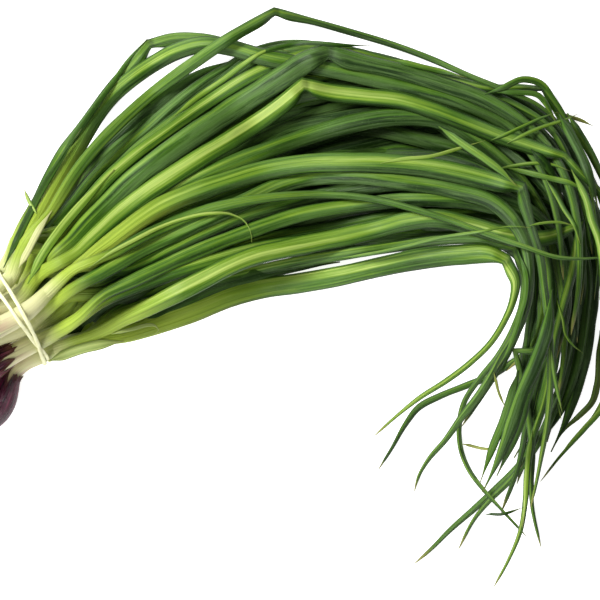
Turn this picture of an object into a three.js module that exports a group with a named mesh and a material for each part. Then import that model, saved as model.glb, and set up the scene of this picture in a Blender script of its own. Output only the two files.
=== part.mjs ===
// A bunch of nine red spring onions lying on a table: every plant is one bulb with its shank, from which
// three to eight hollow leaves rise, and one rubber band is wound twice round the shanks. The leaves fan out,
// fold over at a shoulder and droop to their tips. Millimetres, +Z up, the table is z = 0 and the origin is
// the middle of the bunch's bounding box on the table.
import * as THREE from "three";

// ---- Driving dimensions, in millimetres ----
const PLAN_UNIT = 0.6; // the plan below is drawn in steps of this size, x to the right and y down the sheet
const SHANK_RADIUS = 6;
const SHANK_SLIMMING = { share: 0.3, length: 20 }; // past the band, down to the leaves
const ROOT_PLATE_RADIUS = 2.4;
const BULB_SHOULDER = 25; // from a bulb's widest place to where it has narrowed to its shank
const SHANK_LIFT = 3.5; // room under the shanks for the band
const SHANK_STEP = 9;
const BAND_WIDTH = 2.4;
const BAND_THICKNESS = 1.2;
const BAND_CLEARANCE = 1.3; // between the shanks and the band, which cuts its corners a little
const BAND_SPREAD = 3.8; // half the distance between the two turns where they are furthest apart
const BAND_LEAN = 5.6; // how far the band runs back towards the bulbs from its lower to its upper end
const BAND_CROSSING_LIFT = 2.4; // how far the upper turn stands off where the turns cross
const BAND_CROSSING_PLACE = 0.86; // where the turns cross, as a share of one turn
const BAND_STEPS = 112;
const OUTLINE_SAMPLES = 48;
const LEAF_BASE_THICKNESS = 1.8;
const LEAF_BASE_LENGTH = 34; // a leaf opens from its flat base to its full tube over this length
const LEAF_BASE_WIDTH = 0.45; // width of a leaf's base, as a share of its full width
const LEAF_NARROWING = 0.36; // share of its width that a leaf loses on its outer half
const LEAF_TIP_NARROWING = 0.72; // share of the rest that it loses near its tip
const LEAF_BASE_PITCH = 2.2; // height from one leaf base of a plant to the next
const LEAF_START = 1.4; // room between a shank's end and the leaves that rise from it
const LEAF_THICKNESS_SHARE = 0.4; // a lying leaf's thickness, as a share of its width
const LEAF_LEAST_THICKNESS = 1.1;
const LEAF_MOST_THICKNESS = 2.4;
const FOLD_WIDENING = 1.2;
const FOLD_THICKNESS_SHARE = 0.3;
const CLEAR_OF_SHANK = 9; // plan steps past the shank at which a leaf begins to follow its route
const LEAF_SIDES = 6;
const SHANK_SIDES = 10;
const SPARE_STATIONS = 18;
const SPARE_POINTS = 12; // of a spare leaf's route, before it is smoothed
const SPARE_SPACING = 1.15; // between spare leaves of a plant, in places across the fan
const SPARE_MARGIN = 0.3; // between a spare leaf and the outermost guide, in places across the fan
const SPARE_CLEARANCE = 24; // plan steps past the shank before a spare leaf keeps to its guides
const SPARE_WIDTH = { least: 8.6, range: 3 };
const WIDTH_SCATTER = 0.414;
const REACH_SCATTER = 0.569;
const SPARE_REACH = { least: 0.72, range: 0.24 }; // length, as a share of the leaves it lies between

// ---- How the pieces lie on each other ----
const PIECE_GAP = 0.3; // clear height between two pieces
const CELL = 0.5; // step of the height map
const CELL_REACH = 0.36; // half the diagonal of a cell
const SETTLE_SWEEPS = 40;
const LEAF_SAG = { slope: 0.45, ease: 2.5 }; // how steeply a leaf comes down from what holds it up
const SHANK_SAG = { slope: 0.22, ease: 2 };

// ---- The plan: places in steps of PLAN_UNIT ----
const TIE_START = new THREE.Vector2(47, 361); // lower end of the line on which the band lies
const TIE_DIRECTION = new THREE.Vector2(-1, -2).normalize();
const TIE_LENGTH = 106;
const FAN_FIRST_ANGLE = 15; // degrees above the x axis of the lowest shank
const FAN_ANGLE_STEP = 0.52; // degrees for each step along the tie line
// along: place on the tie line; bulb and root: middle of the bulb and its root plate; neck: a place that a
// bent shank passes; radius: the bulb's, mm; beyond: length of shank past the band; layer: plants of layer 1
// lie on those of layer 0, and so on.
const PLANTS = [
  { along: 9, bulb: [-3, 399], root: [-16, 430], neck: [14, 368], radius: 12, beyond: 26, layer: 0 },
  { along: 22, bulb: [-20, 371], root: [-49, 386], radius: 9.9, beyond: 22, layer: 1 },
  { along: 33, bulb: [-50, 396], root: [-75, 417], radius: 11.2, beyond: 26, layer: 0 },
  { along: 42, bulb: [-64, 358], root: [-94, 371], radius: 9.9, beyond: 24, layer: 1 },
  { along: 52, bulb: [-34, 343], root: [-63, 360], radius: 10.4, beyond: 52, layer: 2 },
  { along: 66, bulb: [-48, 317], root: [-78, 328], radius: 10.1, beyond: 20, layer: 1 },
  { along: 77, bulb: [-85, 338], root: [-113, 355], radius: 11, beyond: 26, layer: 0 },
  { along: 88, bulb: [-92, 298], root: [-123, 306], radius: 9.9, beyond: 22, layer: 1 },
  { along: 96, bulb: [-57, 296], root: [-88, 306], radius: 11.8, beyond: 22, layer: 0 },
];
// Leaves under the plants of layer 1 and leaves over all plants, in the order in which they are laid.
// fan: only where spare leaves may run beside it, its place across the fan, from the outermost leaf; width:
// mm; narrowing: share of the width that is left after each fold; route: plan points from the shank to the
// tip, where a third value of 1 marks a fold.
const LOWER_LEAVES = [
  { plant: 3, width: 10, route: [[95, 275], [130, 250], [170, 222], [210, 198], [250, 180], [290, 163],
    [320, 152], [360, 142], [400, 133], [440, 125], [480, 122], [520, 132], [552, 155], [574, 195],
    [584, 245], [586, 300], [578, 350]] },
  { plant: 7, width: 10, route: [[90, 236], [130, 205], [170, 180], [210, 158], [250, 140],
    [290, 128], [330, 126], [380, 130], [430, 142], [480, 158], [520, 180], [543, 215], [556, 265],
    [560, 320], [552, 375], [540, 420]] },
  { plant: 7, width: 9.4, route: [[50, 235], [80, 195], [120, 152], [160, 120], [200, 95], [250, 75],
    [310, 78], [370, 90], [430, 101], [490, 118], [540, 142], [572, 176], [591, 220], [598, 270],
    [594, 320]] },
  { plant: 3, fan: 12, width: 9, route: [[90, 300], [140, 282], [190, 265], [240, 248], [290, 236],
    [340, 228], [400, 215], [450, 212], [500, 218], [530, 245], [538, 285], [540, 325], [530, 350],
    [510, 364], [490, 376], [465, 386], [440, 396], [418, 408, 1], [405, 425], [392, 448], [378, 470]] },
  { plant: 3, fan: 9, width: 11, route: [[80, 303], [110, 287], [140, 271], [170, 256], [200, 240],
    [230, 228], [255, 218], [285, 212], [320, 206], [350, 200], [385, 190], [425, 186], [470, 192],
    [515, 200], [552, 212], [575, 235], [586, 270], [584, 320], [575, 370], [560, 410], [540, 437],
    [520, 465], [495, 490], [475, 508], [450, 530], [430, 550], [414, 564]] },
  { plant: 3, fan: 11, width: 10, route: [[90, 305], [120, 292], [150, 279], [180, 265], [215, 251],
    [250, 239], [285, 227], [315, 217], [345, 209], [375, 207], [410, 206], [450, 202], [490, 198],
    [530, 198], [560, 212], [575, 245], [578, 290], [572, 340], [562, 385], [545, 430], [530, 455],
    [510, 480], [490, 500], [475, 518], [458, 550]] },
  { plant: 3, width: 9.5, route: [[80, 262], [110, 232], [150, 200], [180, 182], [215, 163], [245, 148],
    [270, 135], [295, 124], [320, 114], [345, 108], [380, 108], [420, 115], [470, 140], [515, 165],
    [545, 200], [557, 250], [553, 310], [545, 360]] },
  { plant: 7, width: 7.4, route: [[58, 222], [75, 202], [90, 183], [110, 162], [130, 143], [150, 126],
    [170, 108], [190, 92], [210, 78], [230, 66], [247, 55], [268, 47], [300, 43], [345, 48]] },
  { plant: 7, width: 10.6, route: [[60, 240], [100, 192], [150, 142], [180, 118], [205, 98], [230, 78],
    [255, 60], [275, 52], [310, 50], [345, 56], [400, 70]] },
  { plant: 9, width: 9, narrowing: [0.95], route: [[22, 236], [40, 197], [63, 155], [89, 121],
    [117, 84], [135, 64], [150, 46, 1], [172, 40], [200, 40], [232, 47], [270, 57], [330, 66], [400, 76],
    [460, 90], [520, 115], [555, 150], [575, 195], [584, 250], [580, 305]] },
  { plant: 3, fan: 6, width: 8.6, narrowing: [0.95, 0.85], route: [[85, 262], [120, 232], [160, 203],
    [200, 183], [230, 171], [260, 160], [290, 150], [320, 140], [350, 130], [375, 121], [400, 113],
    [418, 113, 1], [440, 125], [460, 141], [480, 155], [500, 172], [519, 190, 1], [528, 212], [536, 235],
    [544, 262], [551, 290], [556, 325], [553, 360], [556, 392], [561, 420]] },
];
const UPPER_LEAVES = [
  { plant: 2, width: 9.2, route: [[95, 305], [140, 285], [200, 264], [260, 249], [320, 240], [380, 236],
    [440, 234], [490, 238], [518, 256], [530, 295], [527, 335], [520, 380], [510, 425], [497, 465]] },
  { plant: 2, fan: 10, width: 9, route: [[95, 300], [140, 278], [190, 255], [240, 235], [300, 215],
    [360, 205], [420, 200], [480, 205], [525, 220], [545, 255], [550, 300], [548, 335], [535, 350],
    [516, 352, 1], [520, 372], [525, 400], [530, 430], [532, 455], [531, 480], [532, 505], [541, 548]] },
  { plant: 1, width: 7, narrowing: [1], route: [[100, 322], [140, 305], [180, 294],
    [220, 280], [260, 270], [300, 262], [360, 252], [400, 246], [440, 240], [480, 240], [512, 250, 1],
    [523, 275], [522, 300], [512, 330], [498, 355], [478, 380], [464, 402], [459, 428], [461, 450],
    [469, 470], [482, 488], [500, 508], [527, 537]] },
  { plant: 1, width: 12.8, narrowing: [0.6], route: [[100, 342], [130, 333], [160, 323],
    [180, 316], [200, 309], [230, 297], [260, 289], [300, 283], [340, 276], [380, 267], [420, 259],
    [460, 255], [488, 255], [503, 262, 1], [514, 282], [511, 302], [503, 321], [490, 342], [470, 362],
    [445, 381], [420, 397], [395, 417], [373, 437]] },
  { plant: 1, fan: 13, width: 11.6, narrowing: [0.75], route: [[100, 331], [120, 321], [150, 307],
    [180, 292], [205, 279], [230, 266], [255, 256], [285, 249], [315, 243], [345, 237], [375, 230],
    [405, 222], [435, 219], [470, 226], [505, 236], [540, 239], [577, 228, 1], [575, 250], [569, 280],
    [562, 305], [555, 335], [550, 370], [543, 405], [532, 440], [527, 470], [525, 500], [520, 530],
    [508, 560], [493, 588]] },
  { plant: 4, fan: 8, width: 10.4, route: [[90, 281], [120, 263], [150, 246], [180, 232], [215, 216],
    [250, 200], [280, 186], [310, 178], [350, 176], [400, 182], [450, 190], [495, 205], [520, 235],
    [528, 270], [524, 310], [512, 338], [500, 357], [490, 376], [478, 395], [462, 416], [445, 440],
    [428, 460], [418, 478], [414, 492]] },
  { plant: 6, fan: 3, width: 8.8, narrowing: [0.9, 0.8], route: [[45, 258], [75, 217], [92, 198],
    [110, 178], [130, 160], [170, 130], [210, 102], [250, 77], [285, 62], [310, 55], [333, 50, 1],
    [370, 58], [410, 69], [450, 81], [490, 90], [520, 89], [542, 90, 1], [553, 106], [568, 133],
    [584, 163], [600, 198], [609, 240], [608, 290]] },
  { plant: 8, width: 10.4, route: [[38, 222], [59, 182], [78, 148], [97, 115], [113, 95],
    [133, 78], [155, 63], [176, 52], [203, 45], [230, 48], [260, 57], [320, 68], [390, 84], [460, 104],
    [510, 130], [540, 170], [556, 220], [562, 280]] },
  { plant: 8, width: 7.6, narrowing: [0.56], route: [[42, 230], [60, 200], [79, 170], [98, 146],
    [117, 126], [136, 108], [156, 91], [176, 76], [196, 62], [230, 39], [254, 25], [275, 14, 1],
    [310, 21], [350, 32], [390, 44], [430, 59], [470, 77], [510, 93], [540, 107], [562, 128], [580, 160],
    [592, 200], [597, 250], [594, 300]] },
  { plant: 6, fan: 4, width: 14, narrowing: [0.75], route: [[50, 268], [70, 246], [90, 224], [112, 202],
    [135, 180], [160, 160], [185, 142], [210, 125], [235, 108], [260, 92], [285, 76], [308, 62],
    [328, 56, 1], [360, 63], [400, 72], [440, 84], [480, 98], [515, 118], [545, 145], [565, 180],
    [576, 225], [578, 280], [570, 335]] },
  { plant: 6, fan: 5, width: 11.6, narrowing: [0.92, 0.62], route: [[55, 277], [75, 257], [100, 233],
    [125, 211], [150, 192], [180, 172], [205, 156], [230, 141], [255, 125], [275, 111], [304, 88, 1],
    [330, 93], [365, 97], [400, 101], [430, 110], [465, 123], [500, 137], [535, 149], [563, 158, 1],
    [580, 175], [600, 194], [614, 215], [622, 250], [622, 300], [616, 350], [605, 396], [589, 424],
    [561, 455], [540, 482]] },
  { plant: 5, fan: 7, width: 12.2, narrowing: [0.72], route: [[80, 271], [100, 252], [130, 228],
    [160, 208], [200, 191], [230, 181], [260, 172], [300, 165], [350, 163], [400, 165], [440, 170],
    [480, 179], [518, 190, 1], [524, 208], [531, 232], [538, 256], [542, 285], [546, 315], [549, 350],
    [549, 390], [546, 425], [541, 455], [536, 482], [530, 508]] },
  { plant: 5, width: 7.2, narrowing: [0.8], route: [[85, 274], [110, 257], [140, 239], [170, 225],
    [200, 213], [235, 204], [280, 197], [330, 195], [355, 197], [385, 202], [415, 210], [450, 221],
    [490, 236], [520, 246], [558, 258, 1], [580, 259], [604, 258], [628, 262]] },
];
// Leaves with no route of their own run between two leaves that have one and are neighbours in the fan.
const SPARE_LEAVES = [2, 3, 2, 2, 2, 3, 4, 3, 4]; // how many of them each plant has
const GUIDES = [...LOWER_LEAVES, ...UPPER_LEAVES].filter(({ fan }) => fan !== undefined)
  .sort((a, b) => a.fan - b.fan).map(({ route }) => outline(route));

function outline(points) {
  return new THREE.CatmullRomCurve3(points.map(([x, y]) => new THREE.Vector3(x, y, 0)), false, "centripetal");
}

// An evenly scattered share for item n.
function scatter(n, step) {
  return (n * step) % 1;
}

function fromPlan([x, y]) {
  return new THREE.Vector2(x * PLAN_UNIT, -y * PLAN_UNIT);
}

// ---- The height map: the top of everything that has been laid, cell by cell ----
const MAP_LOW = fromPlan([-150, 620]);
const MAP_HIGH = fromPlan([670, -10]);
const MAP_COLUMNS = Math.ceil((MAP_HIGH.x - MAP_LOW.x) / CELL);
const MAP_ROWS = Math.ceil((MAP_HIGH.y - MAP_LOW.y) / CELL);
const mapTop = new Float32Array(MAP_COLUMNS * MAP_ROWS);

// Calls visit(cell, weights) for each cell under the triangle; the weights give the place between corners.
function visitCells(corners, doubleArea, visit) {
  const [a, b, c] = corners;
  const margins = [b.distanceTo(c), c.distanceTo(a), a.distanceTo(b)].map(
    (edge) => -CELL_REACH * edge / Math.abs(doubleArea));
  const column = (x) => Math.round((x - MAP_LOW.x) / CELL);
  const row = (y) => Math.round((y - MAP_LOW.y) / CELL);
  const xs = corners.map((corner) => corner.x);
  const ys = corners.map((corner) => corner.y);
  for (let j = row(Math.min(...ys)) - 1; j <= row(Math.max(...ys)) + 1; j += 1) {
    for (let i = column(Math.min(...xs)) - 1; i <= column(Math.max(...xs)) + 1; i += 1) {
      const x = MAP_LOW.x + i * CELL;
      const y = MAP_LOW.y + j * CELL;
      const wa = ((b.x - x) * (c.y - y) - (b.y - y) * (c.x - x)) / doubleArea;
      const wb = ((c.x - x) * (a.y - y) - (c.y - y) * (a.x - x)) / doubleArea;
      const weights = [wa, wb, 1 - wa - wb];
      if (weights.every((weight, k) => weight >= margins[k])) {
        const inside = weights.map((weight) => Math.max(weight, 0));
        const sum = inside[0] + inside[1] + inside[2];
        visit(j * MAP_COLUMNS + i, inside.map((weight) => weight / sum));
      }
    }
  }
}

// Calls visit(vertices, corners, doubleArea) for each triangle; doubleArea is below zero if it faces down.
function visitTriangles(geometry, visit) {
  const position = geometry.getAttribute("position");
  const index = geometry.index;
  for (let t = 0; t < index.count; t += 3) {
    const vertices = [index.getX(t), index.getX(t + 1), index.getX(t + 2)];
    const corners = vertices.map((v) => new THREE.Vector2(position.getX(v), position.getY(v)));
    const [a, b, c] = corners;
    const doubleArea = (b.x - a.x) * (c.y - a.y) - (b.y - a.y) * (c.x - a.x);
    if (Math.abs(doubleArea) > 1e-6) {
      visit(vertices, corners, doubleArea);
    }
  }
}

function addToMap(geometry) {
  const position = geometry.getAttribute("position");
  visitTriangles(geometry, (vertices, corners, doubleArea) => {
    if (doubleArea < 0) {
      return;
    }
    const heights = vertices.map((v) => position.getZ(v));
    visitCells(corners, doubleArea, (cell, weights) => {
      const height = weights[0] * heights[0] + weights[1] * heights[1] + weights[2] * heights[2];
      mapTop[cell] = Math.max(mapTop[cell], height);
    });
  });
}

// ---- Bodies swept along stations ----
// A station: centre x and y, left (unit vector to its left), halfWidth, halfHeight, least (lowest centre).
function makeStation(centre, forward, halfWidth, halfHeight, least) {
  const left = new THREE.Vector2(-forward.y, forward.x).normalize();
  return { centre, left, halfWidth, halfHeight, least };
}

// A capped cylinder bent along the stations, still flat on z = 0, and the station of each vertex.
function sweep(stations, sides) {
  const geometry = new THREE.CylinderGeometry(1, 1, 1, sides, stations.length - 1);
  geometry.deleteAttribute("normal");
  geometry.deleteAttribute("uv");
  const position = geometry.getAttribute("position");
  const stationOf = [];
  for (let v = 0; v < position.count; v += 1) {
    const number = Math.round((position.getY(v) + 0.5) * (stations.length - 1));
    const station = stations[number];
    const across = position.getZ(v) * station.halfWidth;
    const up = position.getX(v) / Math.cos(Math.PI / sides) * station.halfHeight;
    const place = station.centre.clone().addScaledVector(station.left, across);
    position.setXYZ(v, place.x, place.y, up);
    stationOf.push(number);
  }
  return { geometry, stationOf };
}

// What each cell under the body asks of the heights of the two stations it lies between.
function findSupports({ geometry, stationOf }) {
  const position = geometry.getAttribute("position");
  const supports = [];
  visitTriangles(geometry, (vertices, corners, doubleArea) => {
    if (doubleArea > 0) {
      return;
    }
    const numbers = vertices.map((v) => stationOf[v]);
    const first = Math.min(...numbers);
    const second = Math.max(...numbers);
    visitCells(corners, doubleArea, (cell, weights) => {
      const share = weights.reduce((sum, weight, k) => sum + (numbers[k] === second ? weight : 0), 0);
      const below = weights.reduce((sum, weight, k) => sum + weight * position.getZ(vertices[k]), 0);
      if (mapTop[cell] > 0) {
        supports.push({ first, second, share, need: mapTop[cell] + PIECE_GAP - below });
      }
    });
  });
  return supports;
}

// Lowest heights of the stations that clear every support, then eased so that the body sags between them.
function settle(stations, supports, sag) {
  const heights = stations.map((station) => station.least);
  for (const { first, second, share, need } of supports) {
    const nearer = share > 0.5 ? second : first;
    heights[nearer] = Math.max(heights[nearer], need);
  }
  const lack = ({ first, second, share, need }) =>
    need - heights[first] * (1 - share) - heights[second] * share;
  for (let n = 0; n < SETTLE_SWEEPS; n += 1) {
    for (const support of supports) {
      const missing = lack(support);
      if (missing > 0) {
        const { first, second, share } = support;
        const scale = missing / ((1 - share) ** 2 + share ** 2);
        heights[first] += scale * (1 - share);
        heights[second] += scale * share;
      }
    }
  }
  for (const support of supports) {
    const missing = Math.max(lack(support), 0);
    heights[support.first] += missing;
    heights[support.second] += missing;
  }
  const along = [0];
  for (let i = 1; i < stations.length; i += 1) {
    along.push(along[i - 1] + stations[i].centre.distanceTo(stations[i - 1].centre));
  }
  return stations.map((station, i) => Math.max(...heights.map((height, j) => {
    const distance = along[i] - along[j];
    return height + sag.ease - Math.hypot(distance * sag.slope, sag.ease);
  })));
}

function layBody(stations, sides, sag) {
  const body = sweep(stations, sides);
  const heights = settle(stations, findSupports(body), sag);
  const position = body.geometry.getAttribute("position");
  body.stationOf.forEach((number, v) => position.setZ(v, position.getZ(v) + heights[number]));
  addToMap(body.geometry);
  return { geometry: body.geometry, heights };
}

// ---- Materials ----
const LEAF_COLOURS = [0x6e8f33, 0x82a53f, 0x9dbf5b, 0x5e8a2e, 0x7f9f72];
const makeLeafMaterial = (n) => new THREE.MeshStandardMaterial({
  color: LEAF_COLOURS[n % LEAF_COLOURS.length], roughness: 0.5, metalness: 0 });
const makeShankMaterial = () => new THREE.MeshStandardMaterial({
  color: 0xc9bda0, roughness: 0.45, metalness: 0 });
const makeBandMaterial = () => new THREE.MeshStandardMaterial({
  color: 0xe9ecb4, roughness: 0.6, metalness: 0 });

const bunch = new THREE.Group();

function addPiece(name, geometry, material) {
  const mesh = new THREE.Mesh(geometry, material);
  mesh.name = name;
  bunch.add(mesh);
}

// ---- Plants: a bulb that narrows into a shank ----
function describePlant({ along, bulb, root, neck, beyond }) {
  const angle = THREE.MathUtils.degToRad(FAN_FIRST_ANGLE + FAN_ANGLE_STEP * along);
  const rise = new THREE.Vector2(Math.cos(angle), -Math.sin(angle)); // in the plan, where y runs down
  const tie = TIE_START.clone().addScaledVector(TIE_DIRECTION, along);
  const collar = tie.clone().addScaledVector(rise, beyond);
  const axis = outline([root, bulb, ...(neck ? [neck] : []), [tie.x, tie.y], [collar.x, collar.y]]);
  return { tie, collar, rise, axis };
}

// Radius of a plant at a distance from the middle of its bulb; below zero is towards the root.
function plantRadius(distance, rootLength, bulbRadius) {
  if (distance <= 0) {
    const round = Math.sqrt(Math.max(1 - (distance / rootLength) ** 2, 0));
    return Math.max(bulbRadius * round, ROOT_PLATE_RADIUS);
  }
  const fall = Math.cos(Math.PI / 2 * Math.min(distance / BULB_SHOULDER, 1)) ** 2;
  return SHANK_RADIUS + (bulbRadius - SHANK_RADIUS) * fall;
}

function plantDistances(rootLength, shankLength) {
  const distances = [-1, -0.94, -0.75, -0.42].map((share) => share * rootLength);
  const steps = Math.round(shankLength / SHANK_STEP);
  for (let i = 0; i <= steps; i += 1) {
    distances.push(shankLength * i / steps);
  }
  return distances;
}

function layPlant(plant) {
  const { tie, rise, axis } = describePlant(plant);
  const tiePoint = fromPlan([tie.x, tie.y]);
  const riseOnTable = new THREE.Vector2(rise.x, -rise.y);
  const whole = axis.getLength() * PLAN_UNIT;
  const rootLength = fromPlan(plant.root).distanceTo(fromPlan(plant.bulb));
  const stations = plantDistances(rootLength, whole - rootLength).map((distance) => {
    const share = THREE.MathUtils.clamp((distance + rootLength) / whole, 0, 1);
    const place = axis.getPointAt(share);
    const tangent = axis.getTangentAt(share);
    const centre = fromPlan([place.x, place.y]);
    const past = centre.clone().sub(tiePoint).dot(riseOnTable) / SHANK_SLIMMING.length;
    const slim = 1 - SHANK_SLIMMING.share * THREE.MathUtils.clamp(past, 0, 1);
    const radius = plantRadius(distance, rootLength, plant.radius) * slim;
    const lift = centre.distanceTo(tiePoint) < 2 * SHANK_STEP ? SHANK_LIFT : 0;
    return makeStation(centre, new THREE.Vector2(tangent.x, -tangent.y), radius, radius, radius + lift);
  });
  const { geometry, heights } = layBody(stations, SHANK_SIDES, SHANK_SAG);
  const number = PLANTS.indexOf(plant) + 1;
  addPiece(`onion_${number}_bulb`, geometry, makeShankMaterial());
  plant.collarHeight = heights[heights.length - 1];
  plant.centreLine = stations.map(({ centre }, i) => new THREE.Vector3(centre.x, centre.y, heights[i]));
  plant.leavesLaid = 0;
}

// ---- Leaves ----
// Width of a leaf at a share of its length, as a part of its full width.
function leafTaper(share) {
  const opening = THREE.MathUtils.smoothstep(share, -0.03, 0.14);
  const narrowing = 1 - LEAF_NARROWING * THREE.MathUtils.smoothstep(share, 0.5, 0.88);
  const tip = 1 - LEAF_TIP_NARROWING * THREE.MathUtils.smoothstep(share, 0.84, 1);
  return THREE.MathUtils.lerp(LEAF_BASE_WIDTH, 1, opening) * narrowing * tip;
}

function layLeaf({ plant: plantNumber, width, narrowing = [], route }) {
  const plant = PLANTS[plantNumber - 1];
  const { tie, collar, rise } = describePlant(plant);
  const start = collar.clone().addScaledVector(rise, LEAF_START / PLAN_UNIT);
  const leastRise = plant.beyond + CLEAR_OF_SHANK;
  const clearOfShank = ([x, y]) => new THREE.Vector2(x, y).sub(tie).dot(rise) > leastRise;
  const points = [[start.x, start.y, 0], ...route.filter(clearOfShank)];
  const centres = points.map(fromPlan);
  const along = [0];
  for (let i = 1; i < centres.length; i += 1) {
    along.push(along[i - 1] + centres[i].distanceTo(centres[i - 1]));
  }
  const baseLeast = plant.collarHeight + (plant.leavesLaid - 2) * LEAF_BASE_PITCH;
  const stations = centres.map((centre, i) => {
    const before = centres[Math.max(i - 1, 0)];
    const after = centres[Math.min(i + 1, centres.length - 1)];
    const incoming = centre.clone().sub(before).normalize();
    const outgoing = after.clone().sub(centre).normalize();
    const forward = i === 0 ? new THREE.Vector2(rise.x, -rise.y) : incoming.add(outgoing);
    const folded = points[i][2] === 1;
    const foldsBefore = points.slice(0, i).filter((point) => point[2] === 1).length;
    const thinned = narrowing[Math.min(foldsBefore, narrowing.length) - 1] ?? 1;
    const tubeWidth = width * leafTaper(along[i] / along.at(-1)) * thinned;
    const opened = THREE.MathUtils.smoothstep(along[i], 0, LEAF_BASE_LENGTH);
    const tube = THREE.MathUtils.clamp(tubeWidth * LEAF_THICKNESS_SHARE, LEAF_LEAST_THICKNESS,
      LEAF_MOST_THICKNESS);
    const thickness = THREE.MathUtils.lerp(Math.min(LEAF_BASE_THICKNESS, tube), tube, opened);
    const halfHeight = (folded ? tubeWidth * FOLD_THICKNESS_SHARE : thickness) / 2;
    const halfWidth = (folded ? tubeWidth * FOLD_WIDENING : tubeWidth) / 2;
    const least = i === 0 ? Math.max(baseLeast, halfHeight) : halfHeight;
    return makeStation(centre, forward, halfWidth, halfHeight, least);
  });
  const { geometry } = layBody(stations, LEAF_SIDES, LEAF_SAG);
  plant.leavesLaid += 1;
  const name = `onion_${plantNumber}_leaf_${plant.leavesLaid}`;
  addPiece(name, geometry, makeLeafMaterial(bunch.children.length));
}

// Route of spare leaf k of a plant; n sets its length. It starts at its shank and then keeps between the two
// guides nearest to its place in the fan.
function spareRoute(number, k, n) {
  const plant = PLANTS[number - 1];
  const { tie, rise } = describePlant(plant);
  const middle = (1 - plant.along / TIE_LENGTH) * (GUIDES.length - 1);
  const spread = SPARE_SPACING * (k - (SPARE_LEAVES[number - 1] - 1) / 2);
  const place = THREE.MathUtils.clamp(middle + spread, SPARE_MARGIN, GUIDES.length - 1 - SPARE_MARGIN);
  const outer = Math.floor(place);
  const reach = SPARE_REACH.least + SPARE_REACH.range * scatter(n, REACH_SCATTER);
  const start = tie.clone().addScaledVector(rise, plant.beyond);
  const points = [new THREE.Vector3(start.x, start.y, 0)];
  for (let i = 0; i < SPARE_POINTS; i += 1) {
    const share = reach * i / (SPARE_POINTS - 1);
    const point = GUIDES[outer].getPointAt(share).lerp(GUIDES[outer + 1].getPointAt(share), place - outer);
    if (new THREE.Vector2(point.x, point.y).sub(tie).dot(rise) > plant.beyond + SPARE_CLEARANCE) {
      points.push(point);
    }
  }
  const curve = new THREE.CatmullRomCurve3(points, false, "centripetal");
  return curve.getSpacedPoints(SPARE_STATIONS - 1).map(({ x, y }) => [x, y, 0]);
}

// Plants of one layer, and on them the leaves that have no route of their own.
function layPlants(layer) {
  PLANTS.filter((plant) => plant.layer === layer).forEach(layPlant);
  PLANTS.forEach((plant, i) => {
    if (plant.layer !== layer) {
      return;
    }
    for (let k = 0; k < SPARE_LEAVES[i]; k += 1) {
      const n = i * PLANTS.length + k;
      const width = SPARE_WIDTH.least + SPARE_WIDTH.range * scatter(n, WIDTH_SCATTER);
      layLeaf({ plant: i + 1, width, route: spareRoute(i + 1, k, n) });
    }
  });
}

// ---- The rubber band: one closed loop that goes round the shanks twice ----
const bandLean = (along) => -BAND_LEAN * (along / (TIE_LENGTH * PLAN_UNIT)) ** 2;

// Outline of the shanks, seen along the band's axis, widened by the band's clearance.
function shankOutline({ origin, tieLine, axial }) {
  const reach = BAND_SPREAD + BAND_WIDTH;
  const radius = SHANK_RADIUS + BAND_CLEARANCE + BAND_THICKNESS / 2;
  const points = [];
  for (const { centreLine } of PLANTS) {
    const line = new THREE.CurvePath();
    centreLine.slice(1).forEach((end, i) => line.add(new THREE.LineCurve3(centreLine[i], end)));
    const nearBand = line.getSpacedPoints(OUTLINE_SAMPLES).map((point) => point.sub(origin))
      .filter((point) => Math.abs(point.dot(axial) - bandLean(point.dot(tieLine))) < reach);
    for (const point of nearBand) {
      for (let k = 0; k < OUTLINE_SAMPLES; k += 1) {
        const angle = 2 * Math.PI * k / OUTLINE_SAMPLES;
        const sideways = point.dot(tieLine) + radius * Math.cos(angle);
        points.push(new THREE.Vector2(sideways, point.z + radius * Math.sin(angle)));
      }
    }
  }
  return convexHull(points);
}

function convexHull(points) {
  const sorted = [...points].sort((a, b) => a.x - b.x || a.y - b.y);
  const turn = (o, a, b) => (a.x - o.x) * (b.y - o.y) - (a.y - o.y) * (b.x - o.x);
  const half = (list) => {
    const chain = [];
    for (const point of list) {
      while (chain.length > 1 && turn(chain.at(-2), chain.at(-1), point) <= 0) {
        chain.pop();
      }
      chain.push(point);
    }
    return chain.slice(0, -1);
  };
  return [...half(sorted), ...half([...sorted].reverse())];
}

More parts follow.
